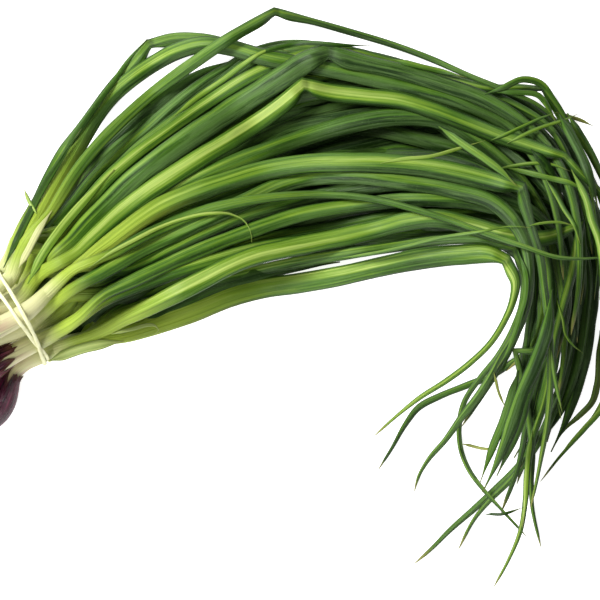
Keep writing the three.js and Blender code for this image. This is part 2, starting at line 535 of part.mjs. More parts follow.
function makeBand() {
  const origin = new THREE.Vector3(TIE_START.x * PLAN_UNIT, -TIE_START.y * PLAN_UNIT, 0);
  const tieLine = new THREE.Vector3(TIE_DIRECTION.x, -TIE_DIRECTION.y, 0);
  const up = new THREE.Vector3(0, 0, 1);
  const axial = new THREE.Vector3().crossVectors(tieLine, up);
  const hull = shankOutline({ origin, tieLine, axial });
  const loop = new THREE.CurvePath();
  hull.forEach((point, i) => loop.add(new THREE.LineCurve(point, hull[(i + 1) % hull.length])));
  const geometry = new THREE.TorusGeometry(1, 0.5, 4, BAND_STEPS);
  const position = geometry.getAttribute("position");
  const uv = geometry.getAttribute("uv");
  for (let v = 0; v < position.count; v += 1) {
    const turns = 2 * Math.round(uv.getX(v) * BAND_STEPS) / BAND_STEPS;
    const place = (turns + BAND_CROSSING_PLACE + 0.5) % 1;
    const along = loop.getPointAt(place);
    const forward = loop.getPointAt((place + 0.01) % 1).sub(loop.getPointAt((place + 0.99) % 1)).normalize();
    const corner = Math.round(uv.getY(v) * 4) * Math.PI / 2 + Math.PI / 4;
    const crossing = Math.max(Math.sin(turns * Math.PI), 0) ** 8 * BAND_CROSSING_LIFT;
    const outward = crossing + Math.cos(corner) * Math.SQRT1_2 * BAND_THICKNESS;
    const sideways = Math.cos(turns * Math.PI) * BAND_SPREAD + bandLean(along.x)
      + Math.sin(corner) * Math.SQRT1_2 * BAND_WIDTH;
    const point = origin.clone()
      .addScaledVector(tieLine, along.x + forward.y * outward)
      .addScaledVector(up, along.y - forward.x * outward)
      .addScaledVector(axial, sideways);
    position.setXYZ(v, point.x, point.y, point.z);
  }
  geometry.deleteAttribute("normal");
  geometry.deleteAttribute("uv");
  addPiece("rubber_band", geometry, makeBandMaterial());
}

// ---- The bunch, laid from the table up ----
layPlants(0);
LOWER_LEAVES.forEach(layLeaf);
layPlants(1);
layPlants(2);
UPPER_LEAVES.forEach(layLeaf);
makeBand();

const box = new THREE.Box3().setFromObject(bunch);
const middle = box.getCenter(new THREE.Vector3());
bunch.position.set(-middle.x, -middle.y, -box.min.z);

export default bunch;
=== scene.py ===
# %% [markdown]
# # A bunch of red spring onions
# Nine red spring onions lie on a pale table, tied with one rubber band. Each plant is a purple bulb that
# narrows to a cream shank, and three to eight hollow leaves rise from the shank. The leaves fan out, kink
# over a shoulder and droop to thin dry tips.
# The construction model already holds every bulb, leaf and the band as a simple closed solid in its real
# place. Here each one gets its real surface. We never move those solids: we read their places from them.

# %% Open the frame
import math
import random

import bpy
import numpy as np
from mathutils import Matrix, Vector
from mathutils.bvhtree import BVHTree


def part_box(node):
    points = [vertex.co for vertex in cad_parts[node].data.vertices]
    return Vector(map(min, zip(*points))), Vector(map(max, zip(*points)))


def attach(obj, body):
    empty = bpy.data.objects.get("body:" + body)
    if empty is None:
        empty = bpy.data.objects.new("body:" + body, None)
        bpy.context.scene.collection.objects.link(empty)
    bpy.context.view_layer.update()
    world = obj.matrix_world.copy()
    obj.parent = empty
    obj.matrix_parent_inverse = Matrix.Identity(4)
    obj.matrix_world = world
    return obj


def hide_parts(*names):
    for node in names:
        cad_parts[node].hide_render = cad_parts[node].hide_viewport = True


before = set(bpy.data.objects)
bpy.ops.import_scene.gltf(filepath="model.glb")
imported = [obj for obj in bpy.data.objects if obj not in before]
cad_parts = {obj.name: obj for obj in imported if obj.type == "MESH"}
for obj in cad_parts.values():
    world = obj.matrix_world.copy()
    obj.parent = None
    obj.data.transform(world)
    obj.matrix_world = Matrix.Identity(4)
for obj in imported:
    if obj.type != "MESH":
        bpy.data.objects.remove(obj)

bpy.context.view_layer.update()
MM = 0.001
print("frame nodes:", len(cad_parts))

# %% [markdown]
# ## Camera
# The bunch is seen from straight above. A long lens far away keeps tall and low leaves at one scale. A
# point of the view is then a point of the table, and plan() turns one into the other, so that a curl or a
# thin strand can be placed.

# %% Camera
VIEW_SIDE = 600  # steps along each side of the square view
STEP = 0.6 * MM  # one step of the view, on the table
VIEW_CENTRE = Vector((28.76, -1.47, 0)) * MM
CAMERA_HEIGHT = 9.0
SENSOR = 36.0

camera_data = bpy.data.cameras.new("overhead")
camera_data.sensor_width = SENSOR
camera_data.lens = SENSOR * CAMERA_HEIGHT / (VIEW_SIDE * STEP)
camera_data.clip_end = 50
camera = bpy.data.objects.new("overhead", camera_data)
camera.location = VIEW_CENTRE + Vector((0, 0, CAMERA_HEIGHT))
bpy.context.scene.collection.objects.link(camera)
bpy.context.scene.camera = camera


def plan(x, y):
    """A point of the view, counted from its top left corner, as a point of the table."""
    half = VIEW_SIDE / 2
    return np.array([VIEW_CENTRE.x + (x - half) * STEP, VIEW_CENTRE.y - (y - half) * STEP])


print("camera lens, mm:", round(camera_data.lens, 1))

# %% [markdown]
# ## Table and light
# A white light table: it glows a little itself, so that the shadows on it stay faint. A soft key lamp
# stands at the upper left, a weaker and larger fill lamp at the lower left, and a pale sky fills in from
# all round. The lamps are much stronger than the sky, because the gaps between real leaves are nearly
# black.

# %% Table and light
TABLE_SIDE = 6.0
TABLE_GLOW = 0.86
SKY = 0.17
KEY_POWER = 64
KEY_SIZE = 0.75
KEY_PLACE = Vector((-1.35, 0.9, 1.7))
FILL_POWER = 26
FILL_SIZE = 1.2
FILL_PLACE = Vector((-1.0, -1.0, 1.3))
LAMPS_AIM_AT = (0.02, 0, 0)


def principled(name):
    """A new material and its Principled shader."""
    material = bpy.data.materials.new(name)
    material.use_nodes = True
    shader = material.node_tree.nodes["Principled BSDF"]
    return material, shader


def add_mesh(name, vertices, faces, material, smooth=True):
    mesh = bpy.data.meshes.new(name)
    mesh.from_pydata(vertices, [], faces)
    mesh.polygons.foreach_set("use_smooth", [smooth] * len(mesh.polygons))
    mesh.materials.append(material)
    mesh.update()
    piece = bpy.data.objects.new(name, mesh)
    bpy.context.scene.collection.objects.link(piece)
    return piece


def aim(thing, target):
    thing.rotation_euler = (Vector(target) - thing.location).to_track_quat("-Z", "Y").to_euler()


def add_lamp(name, place, size, power):
    data = bpy.data.lights.new(name, "AREA")
    data.size = size
    data.energy = power
    lamp = bpy.data.objects.new(name, data)
    lamp.location = place
    aim(lamp, LAMPS_AIM_AT)
    bpy.context.scene.collection.objects.link(lamp)


table_material, table_shader = principled("light_table")
table_shader.inputs["Base Color"].default_value = (0.9, 0.9, 0.9, 1)
table_shader.inputs["Roughness"].default_value = 0.8
table_shader.inputs["Specular IOR Level"].default_value = 0.1
table_shader.inputs["Emission Color"].default_value = (1, 1, 1, 1)
table_shader.inputs["Emission Strength"].default_value = TABLE_GLOW
half = TABLE_SIDE / 2
corners = [(-half, -half, 0), (half, -half, 0), (half, half, 0), (-half, half, 0)]
add_mesh("light_table", corners, [(0, 1, 2, 3)], table_material, smooth=False)
add_lamp("key", KEY_PLACE, KEY_SIZE, KEY_POWER)
add_lamp("fill", FILL_PLACE, FILL_SIZE, FILL_POWER)
world = bpy.data.worlds.new("sky")
world.use_nodes = True
world.node_tree.nodes["Background"].inputs["Color"].default_value = (1, 1, 1, 1)
world.node_tree.nodes["Background"].inputs["Strength"].default_value = SKY
bpy.context.scene.world = world
bpy.context.scene.view_settings.view_transform = "Standard"
print("table, sky and two lamps")

# %% [markdown]
# ## Reading a solid back as rings
# Every leaf and shank of the frame is a capped tube with the same number of corners all along. Walking the
# mesh outwards from the middle of a cap meets one ring after another, and each ring tells where the tube
# runs, how wide it is and how tall. That is all the fine surface needs.

# %% Rings
LEAF_SIDES = 6
SHANK_SIDES = 10
BAND_MIDDLE = sum(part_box("rubber_band"), Vector()) / 2


def merged_mesh(node):
    """Points of a node with copies at the same place made one, and the neighbours of each."""
    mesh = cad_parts[node].data
    numbers, points, number_of = {}, [], []
    for vertex in mesh.vertices:
        key = tuple(round(c * 1e6) for c in vertex.co)
        if key not in numbers:
            numbers[key] = len(points)
            points.append(np.array(vertex.co))
        number_of.append(numbers[key])
    links = [set() for _ in points]
    for edge in mesh.edges:
        a, b = (number_of[v] for v in edge.vertices)
        if a != b:
            links[a].add(b)
            links[b].add(a)
    return points, links


def walk_rings(start, links):
    """Levels of neighbours outwards from a vertex."""
    seen, levels = {start}, [[start]]
    while True:
        nearest = set().union(*(links[v] for v in levels[-1])) - seen
        if not nearest:
            return levels
        seen |= nearest
        levels.append(sorted(nearest))


def read_rings(node, sides):
    """Centre, half width and half height of each ring, from the end nearer the band."""
    points, links = merged_mesh(node)
    for start in range(len(points)):
        levels = walk_rings(start, links) if len(links[start]) == sides else [[]]
        if len(levels) > 3 and all(len(level) == sides for level in levels[1:-1]) and len(levels[-1]) == 1:
            break
    else:
        raise ValueError(f"{node} is not a tube of {sides} sides")
    rings = []
    for level in levels[1:-1]:
        corners = np.array([points[v] for v in level])
        centre = corners.mean(axis=0)
        reach = np.linalg.norm((corners - centre)[:, :2], axis=1).max()
        rings.append((centre, reach, np.ptp(corners[:, 2]) / 2))
    ends = [np.linalg.norm(rings[i][0] - np.array(BAND_MIDDLE)) for i in (0, -1)]
    if ends[0] > ends[1]:
        rings.reverse()
    centres, half_widths, half_heights = (np.array(part) for part in zip(*rings))
    return centres, half_widths, half_heights


LEAF_NODES = sorted(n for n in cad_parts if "_leaf_" in n)
BULB_NODES = sorted(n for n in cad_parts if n.endswith("_bulb"))
leaf_rings = {node: read_rings(node, LEAF_SIDES) for node in LEAF_NODES}
shank_rings = {node: read_rings(node, SHANK_SIDES) for node in BULB_NODES}
print("leaves:", len(leaf_rings), "with", sum(len(r[0]) for r in leaf_rings.values()), "rings")
print("bulbs:", len(shank_rings))

# %% [markdown]
# ## Free room round a leaf
# In the frame the leaves are thin, so that they can lie on each other. A real leaf is a tube that swells
# until it meets its neighbour. We could simulate that, but a ray upwards and a ray downwards from many
# places along the leaf measure the same free room at once, and the tube is then blown up into part of it.
# The rays start on the middle line, so at the sides two tubes can still cut into each other by a
# millimetre or two. That is the price of not simulating.

# %% Rays through the pile
RAY_REACH = 0.05
RAY_NUDGE = 1e-5  # past a triangle before the next ray starts
ABOVE_ALL = 0.2  # a height above the whole pile
DOWN = Vector((0, 0, -1))


def pile_tree():
    """One search tree over all solids of the frame, and which node each triangle belongs to."""
    vertices, faces, owners = [], [], []
    for node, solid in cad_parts.items():
        first = len(vertices)
        vertices += [vertex.co.copy() for vertex in solid.data.vertices]
        faces += [[first + v for v in face.vertices] for face in solid.data.polygons]
        owners += [node] * len(solid.data.polygons)
    return BVHTree.FromPolygons(vertices, faces), owners


TREE, OWNERS = pile_tree()


def free_room(point, up, own):
    """Distance from a point straight up or down to the next solid that is not its own."""
    direction = Vector((0, 0, 1 if up else -1))
    origin = Vector(point)
    start = origin.z
    while abs(origin.z - start) < RAY_REACH:
        place, _, face, _ = TREE.ray_cast(origin, direction, RAY_REACH)
        if place is None:
            return RAY_REACH
        if OWNERS[face] != own:
            return abs(place.z - start)
        origin = place + direction * RAY_NUDGE
    return RAY_REACH


def top_of_pile(x, y):
    """Height of the highest solid at a place of the table."""
    place, _, _, _ = TREE.ray_cast(Vector((x, y, ABOVE_ALL)), DOWN, ABOVE_ALL)
    return 0.0 if place is None else place.z


print("triangles in the search tree:", len(OWNERS))

# %% [markdown]
# ## A lofted tube
# Leaves, shanks, roots and strands are all tubes, so one function makes them: a grid of points, ring by
# ring, closed with a fan at each end. It also lays the texture map: across in metres round the tube,
# along in metres from its start. Fine veins then keep their true scale on a wide leaf and a thin one.

# %% Loft
def smoothstep(x, low, high):
    t = np.clip((np.asarray(x, float) - low) / (high - low), 0, 1)
    return t * t * (3 - 2 * t)


def arc_lengths(points):
    return np.concatenate([[0], np.cumsum(np.linalg.norm(np.diff(points, axis=0), axis=1))])


def blur(values, reach):
    """Running mean with a bell-shaped weight; reach is in samples."""
    if reach < 0.5:
        return values
    offsets = np.arange(-int(3 * reach), int(3 * reach) + 1)
    weights = np.exp(-0.5 * (offsets / reach) ** 2)
    padded = np.pad(values, len(offsets) // 2, mode="edge")
    return np.convolve(padded, weights / weights.sum(), mode="valid")


def loft(name, grid, material, marks=None, along=None):
    """A closed tube through grid[ring, corner] = point; marks are named values for each ring or point."""
    rings, sides = grid.shape[:2]
    along = arc_lengths(grid.mean(axis=1)) if along is None else along
    ends = grid[[0, -1]].mean(axis=1)
    vertices = np.concatenate([grid.reshape(-1, 3), ends])
    low, high = rings * sides, rings * sides + 1
    faces, wraps = [], []
    for i in range(rings - 1):
        for j in range(sides):
            k = (j + 1) % sides
            faces.append((i * sides + j, i * sides + k, (i + 1) * sides + k, (i + 1) * sides + j))
            wraps.append(((j, i), (j + 1, i), (j + 1, i + 1), (j, i + 1)))
    last = (rings - 1) * sides
    for j in range(sides):
        k = (j + 1) % sides
        faces.append((k, j, low))
        wraps.append(((j + 1, 0), (j, 0), (j + 0.5, 0)))
        faces.append((last + j, last + k, high))
        wraps.append(((j, rings - 1), (j + 1, rings - 1), (j + 0.5, rings - 1)))
    piece = add_mesh(name, vertices.tolist(), faces, material)
    girth = np.linalg.norm(np.diff(grid, axis=1), axis=2).sum(axis=1).max()
    texture = [(j / sides * girth, along[i]) for wrap in wraps for j, i in wrap]
    layer = piece.data.uv_layers.new(name="around_and_along")
    layer.data.foreach_set("uv", np.array(texture, np.float32).ravel())
    for mark, values in (marks or {}).items():
        values = np.asarray(values, float)
        if values.ndim == 0:
            values = np.full(rings, float(values))
        if values.ndim == 1:
            values = np.repeat(values[:, None], sides, axis=1)
        flat = np.concatenate([values.ravel(), [values[0].mean(), values[-1].mean()]])
        attribute = piece.data.attributes.new(mark, "FLOAT", "POINT")
        attribute.data.foreach_set("value", flat.astype(np.float32))
    return piece


print("loft ready")

# %% [markdown]
# ## Shared shader groups
# Three effects come back on leaves, shanks and skins, so each is a node group that is built once:
# lengthwise veins, patches that follow the same direction but are broader, and fine specks of dust.

# %% Shader groups
def new_group(name, inputs, outputs):
    """An empty shader group with float inputs (or a vector where the default is None)."""
    tree = bpy.data.node_groups.new(name, "ShaderNodeTree")
    for title, default in inputs.items():
        kind = "NodeSocketVector" if default is None else "NodeSocketFloat"
        socket = tree.interface.new_socket(title, in_out="INPUT", socket_type=kind)
        if default is not None:
            socket.default_value = default
    for title in outputs:
        tree.interface.new_socket(title, in_out="OUTPUT", socket_type="NodeSocketFloat")
    return tree, tree.nodes.new("NodeGroupInput"), tree.nodes.new("NodeGroupOutput")


def math_node(tree, operation, first, second, clamp=False):
    """A Math node; first and second are sockets or numbers."""
    node = tree.nodes.new("ShaderNodeMath")
    node.operation = operation
    node.use_clamp = clamp
    for socket, value in zip(node.inputs, (first, second)):
        if isinstance(value, bpy.types.NodeSocket):
            tree.links.new(value, socket)
        else:
            socket.default_value = value
    return node.outputs[0]


def stretched_place(tree, place, across, along, seed):
    """Texture coordinates with their own scale across and along, moved on by a seed."""
    parts = tree.nodes.new("ShaderNodeSeparateXYZ")
    tree.links.new(place, parts.inputs[0])
    joined = tree.nodes.new("ShaderNodeCombineXYZ")
    tree.links.new(math_node(tree, "MULTIPLY", parts.outputs[0], across), joined.inputs[0])
    tree.links.new(math_node(tree, "MULTIPLY", parts.outputs[1], along), joined.inputs[1])
    tree.links.new(math_node(tree, "MULTIPLY", seed, 37.0), joined.inputs[2])
    return joined.outputs[0]


def noise_value(tree, vector, detail, roughness):
    node = tree.nodes.new("ShaderNodeTexNoise")
    node.inputs["Scale"].default_value = 1
    node.inputs["Detail"].default_value = detail
    node.inputs["Roughness"].default_value = roughness
    tree.links.new(vector, node.inputs["Vector"])
    return node.outputs["Fac"]


def ramp(tree, value, low, high):
    """value mapped so that low gives 0 and high gives 1."""
    node = tree.nodes.new("ShaderNodeMapRange")
    node.interpolation_type = "SMOOTHSTEP"
    tree.links.new(value, node.inputs["Value"])
    node.inputs["From Min"].default_value = low
    node.inputs["From Max"].default_value = high
    return node.outputs["Result"]


def build_vein_group():
    tree, source, result = new_group(
        "lengthwise_veins", {"Place": None, "Across": 700, "Along": 9, "Seed": 0}, ["Streak", "Rib"])
    place, across, along, seed = (source.outputs[i] for i in range(4))
    broad = noise_value(tree, stretched_place(tree, place, across, along, seed), 3, 0.6)
    fine_across = math_node(tree, "MULTIPLY", across, 3.1)
    fine = noise_value(tree, stretched_place(tree, place, fine_across, along, seed), 2, 0.5)
    tree.links.new(ramp(tree, broad, 0.3, 0.7), result.inputs["Streak"])
    tree.links.new(ramp(tree, fine, 0.32, 0.68), result.inputs["Rib"])
    return tree


def build_patch_group():
    tree, source, result = new_group(
        "drawn_out_patches", {"Place": None, "Across": 120, "Along": 16, "Seed": 0, "Cover": 0.5}, ["Mask"])
    place, across, along, seed, cover = (source.outputs[i] for i in range(5))
    cloud = noise_value(tree, stretched_place(tree, place, across, along, seed), 4, 0.62)
    edge = math_node(tree, "SUBTRACT", 1.0, cover)
    lifted = math_node(tree, "SUBTRACT", cloud, math_node(tree, "MULTIPLY", edge, 0.6))
    tree.links.new(ramp(tree, lifted, 0.1, 0.34), result.inputs["Mask"])
    return tree


def build_speck_group():
    tree, source, result = new_group("specks", {"Size": 900}, ["Mask"])
    place = tree.nodes.new("ShaderNodeTexCoord").outputs["Object"]
    cells = tree.nodes.new("ShaderNodeTexVoronoi")
    tree.links.new(place, cells.inputs["Vector"])
    tree.links.new(source.outputs["Size"], cells.inputs["Scale"])
    tree.links.new(ramp(tree, cells.outputs["Distance"], 0.3, 0.05), result.inputs["Mask"])
    return tree


VEINS = build_vein_group()
PATCHES = build_patch_group()
SPECKS = build_speck_group()
print("shader groups:", [group.name for group in bpy.data.node_groups])

# %% [markdown]
# ## Node shorthand
# A material is easier to read when each of its steps is one line: use a group, mix two colours by a mask,
# read a value that the mesh carries.

# %% Node shorthand
def use_group(tree, group, **values):
    node = tree.nodes.new("ShaderNodeGroup")
    node.node_tree = group
    for title, value in values.items():
        if isinstance(value, bpy.types.NodeSocket):
            tree.links.new(value, node.inputs[title])
        else:
            node.inputs[title].default_value = value
    return node


def mesh_value(tree, mark):
    node = tree.nodes.new("ShaderNodeAttribute")
    node.attribute_name = mark
    return node.outputs["Fac"]


def texture_place(tree):
    node = tree.nodes.new("ShaderNodeUVMap")
    node.uv_map = "around_and_along"
    return node.outputs["UV"]


def mix_colour(tree, mask, first, second, blend="MIX"):
    node = tree.nodes.new("ShaderNodeMix")
    node.data_type = "RGBA"
    node.blend_type = blend
    sockets = (node.inputs[0], node.inputs[6], node.inputs[7])
    for socket, value in zip(sockets, (mask, first, second)):
        if isinstance(value, bpy.types.NodeSocket):
            tree.links.new(value, socket)
        elif isinstance(value, tuple):
            socket.default_value = (*value, 1)
        else:
            socket.default_value = value
    return node.outputs[2]


def colour_stops(tree, value, stops):
    """A colour ramp; stops are (place, colour)."""
    node = tree.nodes.new("ShaderNodeValToRGB")
    tree.links.new(value, node.inputs[0])
    elements = node.color_ramp.elements
    while len(elements) < len(stops):
        elements.new(0.5)
    for element, (place, colour) in zip(elements, stops):
        element.position = place
        element.color = (*colour, 1)
    return node.outputs[0]


def bump(tree, height, distance, strength):
    node = tree.nodes.new("ShaderNodeBump")
    node.inputs["Distance"].default_value = distance
    node.inputs["Strength"].default_value = strength
    tree.links.new(height, node.inputs["Height"])
    return node.outputs["Normal"]


print("shorthand ready")

# %% [markdown]
# ## Leaf finish
# A spring onion leaf is cream where it leaves the shank, lime for a few centimetres and then deep green,
# with a pale waxy bloom that is rubbed off in places. Its veins run lengthwise, and its tip dries to straw.
# The mesh says how far along a point is and what kind of leaf it is, and it carries painted light and
# shade: a paler flank towards the key lamp, darker sides and a dark crease at each fold. Noise does the
# rest.

# %% Leaf material
DEEP_GREEN = (0.01, 0.035, 0.002)
LEAF_GREEN = (0.058, 0.15, 0.009)
SUN_GREEN = (0.19, 0.32, 0.026)
PALE_GREEN = (0.4, 0.52, 0.11)
LIME = (0.4, 0.52, 0.06)
SHEATH_CREAM = (0.66, 0.65, 0.32)
BLOOM = (0.17, 0.3, 0.085)
STRAW = (0.4, 0.35, 0.1)
FOLD_PAINTED_SHADE = (0.008, 0.02, 0.002)


def make_leaf_material():
    material, shader = principled("spring_onion_leaf")
    tree = material.node_tree
    place, seed = texture_place(tree), mesh_value(tree, "leaf_seed")
    tone = mesh_value(tree, "leaf_tone")
    veins = use_group(tree, VEINS, Place=place, Across=560, Along=5, Seed=seed)
    patches = use_group(tree, PATCHES, Place=place, Across=130, Along=12, Seed=seed, Cover=0.55)
    rubbed = use_group(tree, PATCHES, Place=place, Across=420, Along=26, Seed=seed, Cover=0.55)
    dust = use_group(tree, SPECKS, Size=420)
    streaked = math_node(tree, "MULTIPLY", veins.outputs["Streak"], 0.46)
    cloudy = math_node(tree, "MULTIPLY", patches.outputs["Mask"], 0.22)
    shift = math_node(tree, "SUBTRACT", math_node(tree, "ADD", streaked, cloudy), 0.34)
    # painted light and shade: the mesh's mark moves the lit flank up the ramp towards the pale greens, and
    # the far flank and the sides down towards the deep greens
    split = math_node(tree, "ADD", tone, mesh_value(tree, "leaf_painted_light_and_shade"))
    brightness = math_node(tree, "ADD", split, shift, clamp=True)
    green = colour_stops(tree, brightness, [(0.05, DEEP_GREEN), (0.42, LEAF_GREEN), (0.75, SUN_GREEN),
                                            (1, PALE_GREEN)])
    waxed = math_node(tree, "MULTIPLY", rubbed.outputs["Mask"], mesh_value(tree, "leaf_bloom"))
    bloomed = mix_colour(tree, waxed, green, BLOOM)
    limed = mix_colour(tree, mesh_value(tree, "leaf_lime"), bloomed, LIME)
    cream = mix_colour(tree, mesh_value(tree, "leaf_cream"), limed, SHEATH_CREAM)
    withered = math_node(tree, "MULTIPLY", mesh_value(tree, "leaf_dry"),
                         math_node(tree, "ADD", veins.outputs["Streak"], 0.45), clamp=True)
    dry = mix_colour(tree, withered, cream, STRAW)
    # painted shade: a nearly black green along the crease just past each fold
    with_fold_shade = mix_colour(tree, mesh_value(tree, "leaf_fold_painted_shade"), dry, FOLD_PAINTED_SHADE)
    ribs = math_node(tree, "MULTIPLY", veins.outputs["Rib"], 0.42)
    ribbed = mix_colour(tree, ribs, with_fold_shade, (0.42, 0.52, 0.3), "MULTIPLY")
    dusted = mix_colour(tree, math_node(tree, "MULTIPLY", dust.outputs["Mask"], 0.12), ribbed, BLOOM)
    tree.links.new(dusted, shader.inputs["Base Color"])
    gloss = math_node(tree, "ADD", math_node(tree, "MULTIPLY", waxed, 0.22), 0.36)
    rough = math_node(tree, "ADD", gloss, math_node(tree, "MULTIPLY", veins.outputs["Rib"], 0.08))
    tree.links.new(rough, shader.inputs["Roughness"])
    height = math_node(tree, "ADD", veins.outputs["Rib"], veins.outputs["Streak"])
    tree.links.new(bump(tree, height, 0.0003, 0.6), shader.inputs["Normal"])
    shader.inputs["Specular IOR Level"].default_value = 0.22
    return material


LEAF_MATERIAL = make_leaf_material()
print("leaf material ready")

# %% [markdown]
# ## Line of a leaf
# The rings of the frame are a few centimetres apart. Between them the leaf runs in a smooth curve, except
# at a fold, where a soft tube kinks like a drinking straw. A fold shows in the frame as a ring that is
# wider than its neighbours. So the line is cut at the folds, each stretch is smoothed by itself, and the
# stretches meet in a corner.

# %% Line
LEAF_STEP = 2.0 * MM
FOLD_SIGN = 1.07  # a ring this much wider than both its neighbours is a fold
FOLD_WIDENING = 1.2  # by which the frame widens the ring at a fold


def find_folds(half_widths):
    inner = range(1, len(half_widths) - 1)
    return [i for i in inner if half_widths[i] > FOLD_SIGN * max(half_widths[i - 1], half_widths[i + 1])]


def smooth_stretch(points, step):
    """Even samples of a curve through points, and the point number (with fraction) of each sample."""
    gaps = np.linalg.norm(np.diff(points, axis=0), axis=1)
    slopes = np.diff(points, axis=0) / gaps[:, None]
    tangents = np.empty_like(points)
    tangents[0], tangents[-1] = slopes[0], slopes[-1]
    weights = gaps[:-1] / (gaps[:-1] + gaps[1:])
    tangents[1:-1] = slopes[:-1] * (1 - weights)[:, None] + slopes[1:] * weights[:, None]
    samples, places = [points[0]], [0.0]
    for i, gap in enumerate(gaps):
        count = max(int(round(gap / step)), 1)
        for n in range(1, count + 1):
            t = n / count
            start = (1 + 2 * t) * (1 - t) ** 2 * points[i] + t * (1 - t) ** 2 * gap * tangents[i]
            end = t * t * (3 - 2 * t) * points[i + 1] - t * t * (1 - t) * gap * tangents[i + 1]
            samples.append(start + end)
            places.append(i + t)
    return np.array(samples), np.array(places)


def leaf_line(points, folds, step):
    """Samples of the whole leaf, the ring number of each, and the sample numbers of the folds."""
    cuts = [0, *folds, len(points) - 1]
    line, places, corners = [points[0]], [0.0], []
    for first, last in zip(cuts, cuts[1:]):
        samples, numbers = smooth_stretch(points[first:last + 1], step)
        line += list(samples[1:])
        places += list(numbers[1:] + first)
        corners.append(len(line) - 1)
    return np.array(line), np.array(places), corners[:-1]


def headings(line, corners):
    """Level direction of travel of each sample; at a corner it is halfway between the two stretches."""
    flat = line[:, :2]
    steps = np.diff(flat, axis=0)
    steps /= np.linalg.norm(steps, axis=1)[:, None]
    before = np.vstack([steps[:1], steps])
    after = np.vstack([steps, steps[-1:]])
    for corner in corners:
        after[corner - 1] = before[corner - 1]
        before[corner + 1] = after[corner + 1]
    heading = before + after
    return heading / np.linalg.norm(heading, axis=1)[:, None]


print("line helpers ready")

# %% [markdown]
# ## Section of a leaf
# Cut across, a lying leaf is a flattened tube: round at the sides, with a soft ridge that wanders from one
# side to the other, so that one flank faces the light and the other falls away from it. Where the leaf
# folds, both walls press together, and the section turns to halve the corner, as a mitred pipe does.

# %% Section
AROUND = 20
SIDE_SHARE = 0.58  # half height that a tube would like to have, as a share of its half width
ROOM_SHARE = 0.45  # share of the free room that a leaf swells into on each side
TABLE_GAP = 0.2 * MM  # kept between a swelling leaf and the table
LEAF_LOWEST = 0.15 * MM  # no point of a leaf lies lower than this
FOOT_LENGTH = 18 * MM  # how far a leaf runs back into its shank
FOOT_GAP = 0.35 * MM  # between the shank's surface and the outermost leaf's foot
FOOT_WALL = 0.32 * MM  # by how much the foot of each leaf further in is slimmer
FOOT_OPENS = 40 * MM  # from the mouth of the shank to where a leaf has its own shape
FOOT_CLIMBS = 30 * MM  # from the mouth of the shank to where a leaf has its own height
SHOULDER_X = plan(500, 0)[0]  # where the leaves begin to fold over
PAST_SHOULDER_SLIMS = 0.28  # share of its width that a leaf loses over the shoulder
FOLD_REACH = 11 * MM
FOLD_PINCH = 0.62  # how far the inner side is drawn in at a fold
TIP_LENGTH = 9 * MM


def section(ridge, tent):
    """Across and up of each corner of a unit section; one row for each ring."""
    angle = 2 * np.pi * (np.arange(AROUND) + 0.5) / AROUND - np.pi / 2
    across = np.cos(angle)[None, :] * np.ones((len(ridge), 1))
    lift = np.sin(angle)[None, :] * np.ones((len(ridge), 1))
    offset = across - ridge[:, None]
    side_room = np.where(offset > 0, 1 - ridge[:, None], 1 + ridge[:, None])
    slanted = np.clip(1 - np.abs(offset) / side_room, 0, 1) ** 0.7
    top = (1 - tent[:, None]) * np.abs(lift) ** 0.85 + tent[:, None] * slanted
    return across, np.where(lift > 0, top, -np.abs(lift) ** 0.85)


def wander(length, seed, reach, low, high):
    """A slow random walk between low and high, one value for each sample."""
    source = np.random.default_rng(seed)
    knots = source.uniform(low, high, max(int(length * LEAF_STEP / reach) + 3, 4))
    return np.interp(np.linspace(0, len(knots) - 1, length), np.arange(len(knots)), knots)


def swell(node, line, half_heights, half_widths, up):
    """Half height above or below the line: as round as the free room on that side allows."""
    wanted = np.maximum(half_widths * SIDE_SHARE, half_heights)
    allowed = np.empty(len(line))
    for i, (x, y, z) in enumerate(line):
        edge = z + (half_heights[i] if up else -half_heights[i])
        room = free_room((x, y, edge), up, node)
        table_room = z - half_heights[i] - TABLE_GAP
        allowed[i] = half_heights[i] + ROOM_SHARE * (room if up else min(room, 2 * max(table_room, 0)))
    tight = np.array([allowed[max(i - 3, 0):i + 4].min() for i in range(len(line))])
    return blur(np.minimum(wanted, tight), 3)


print("section ready, corners:", AROUND)
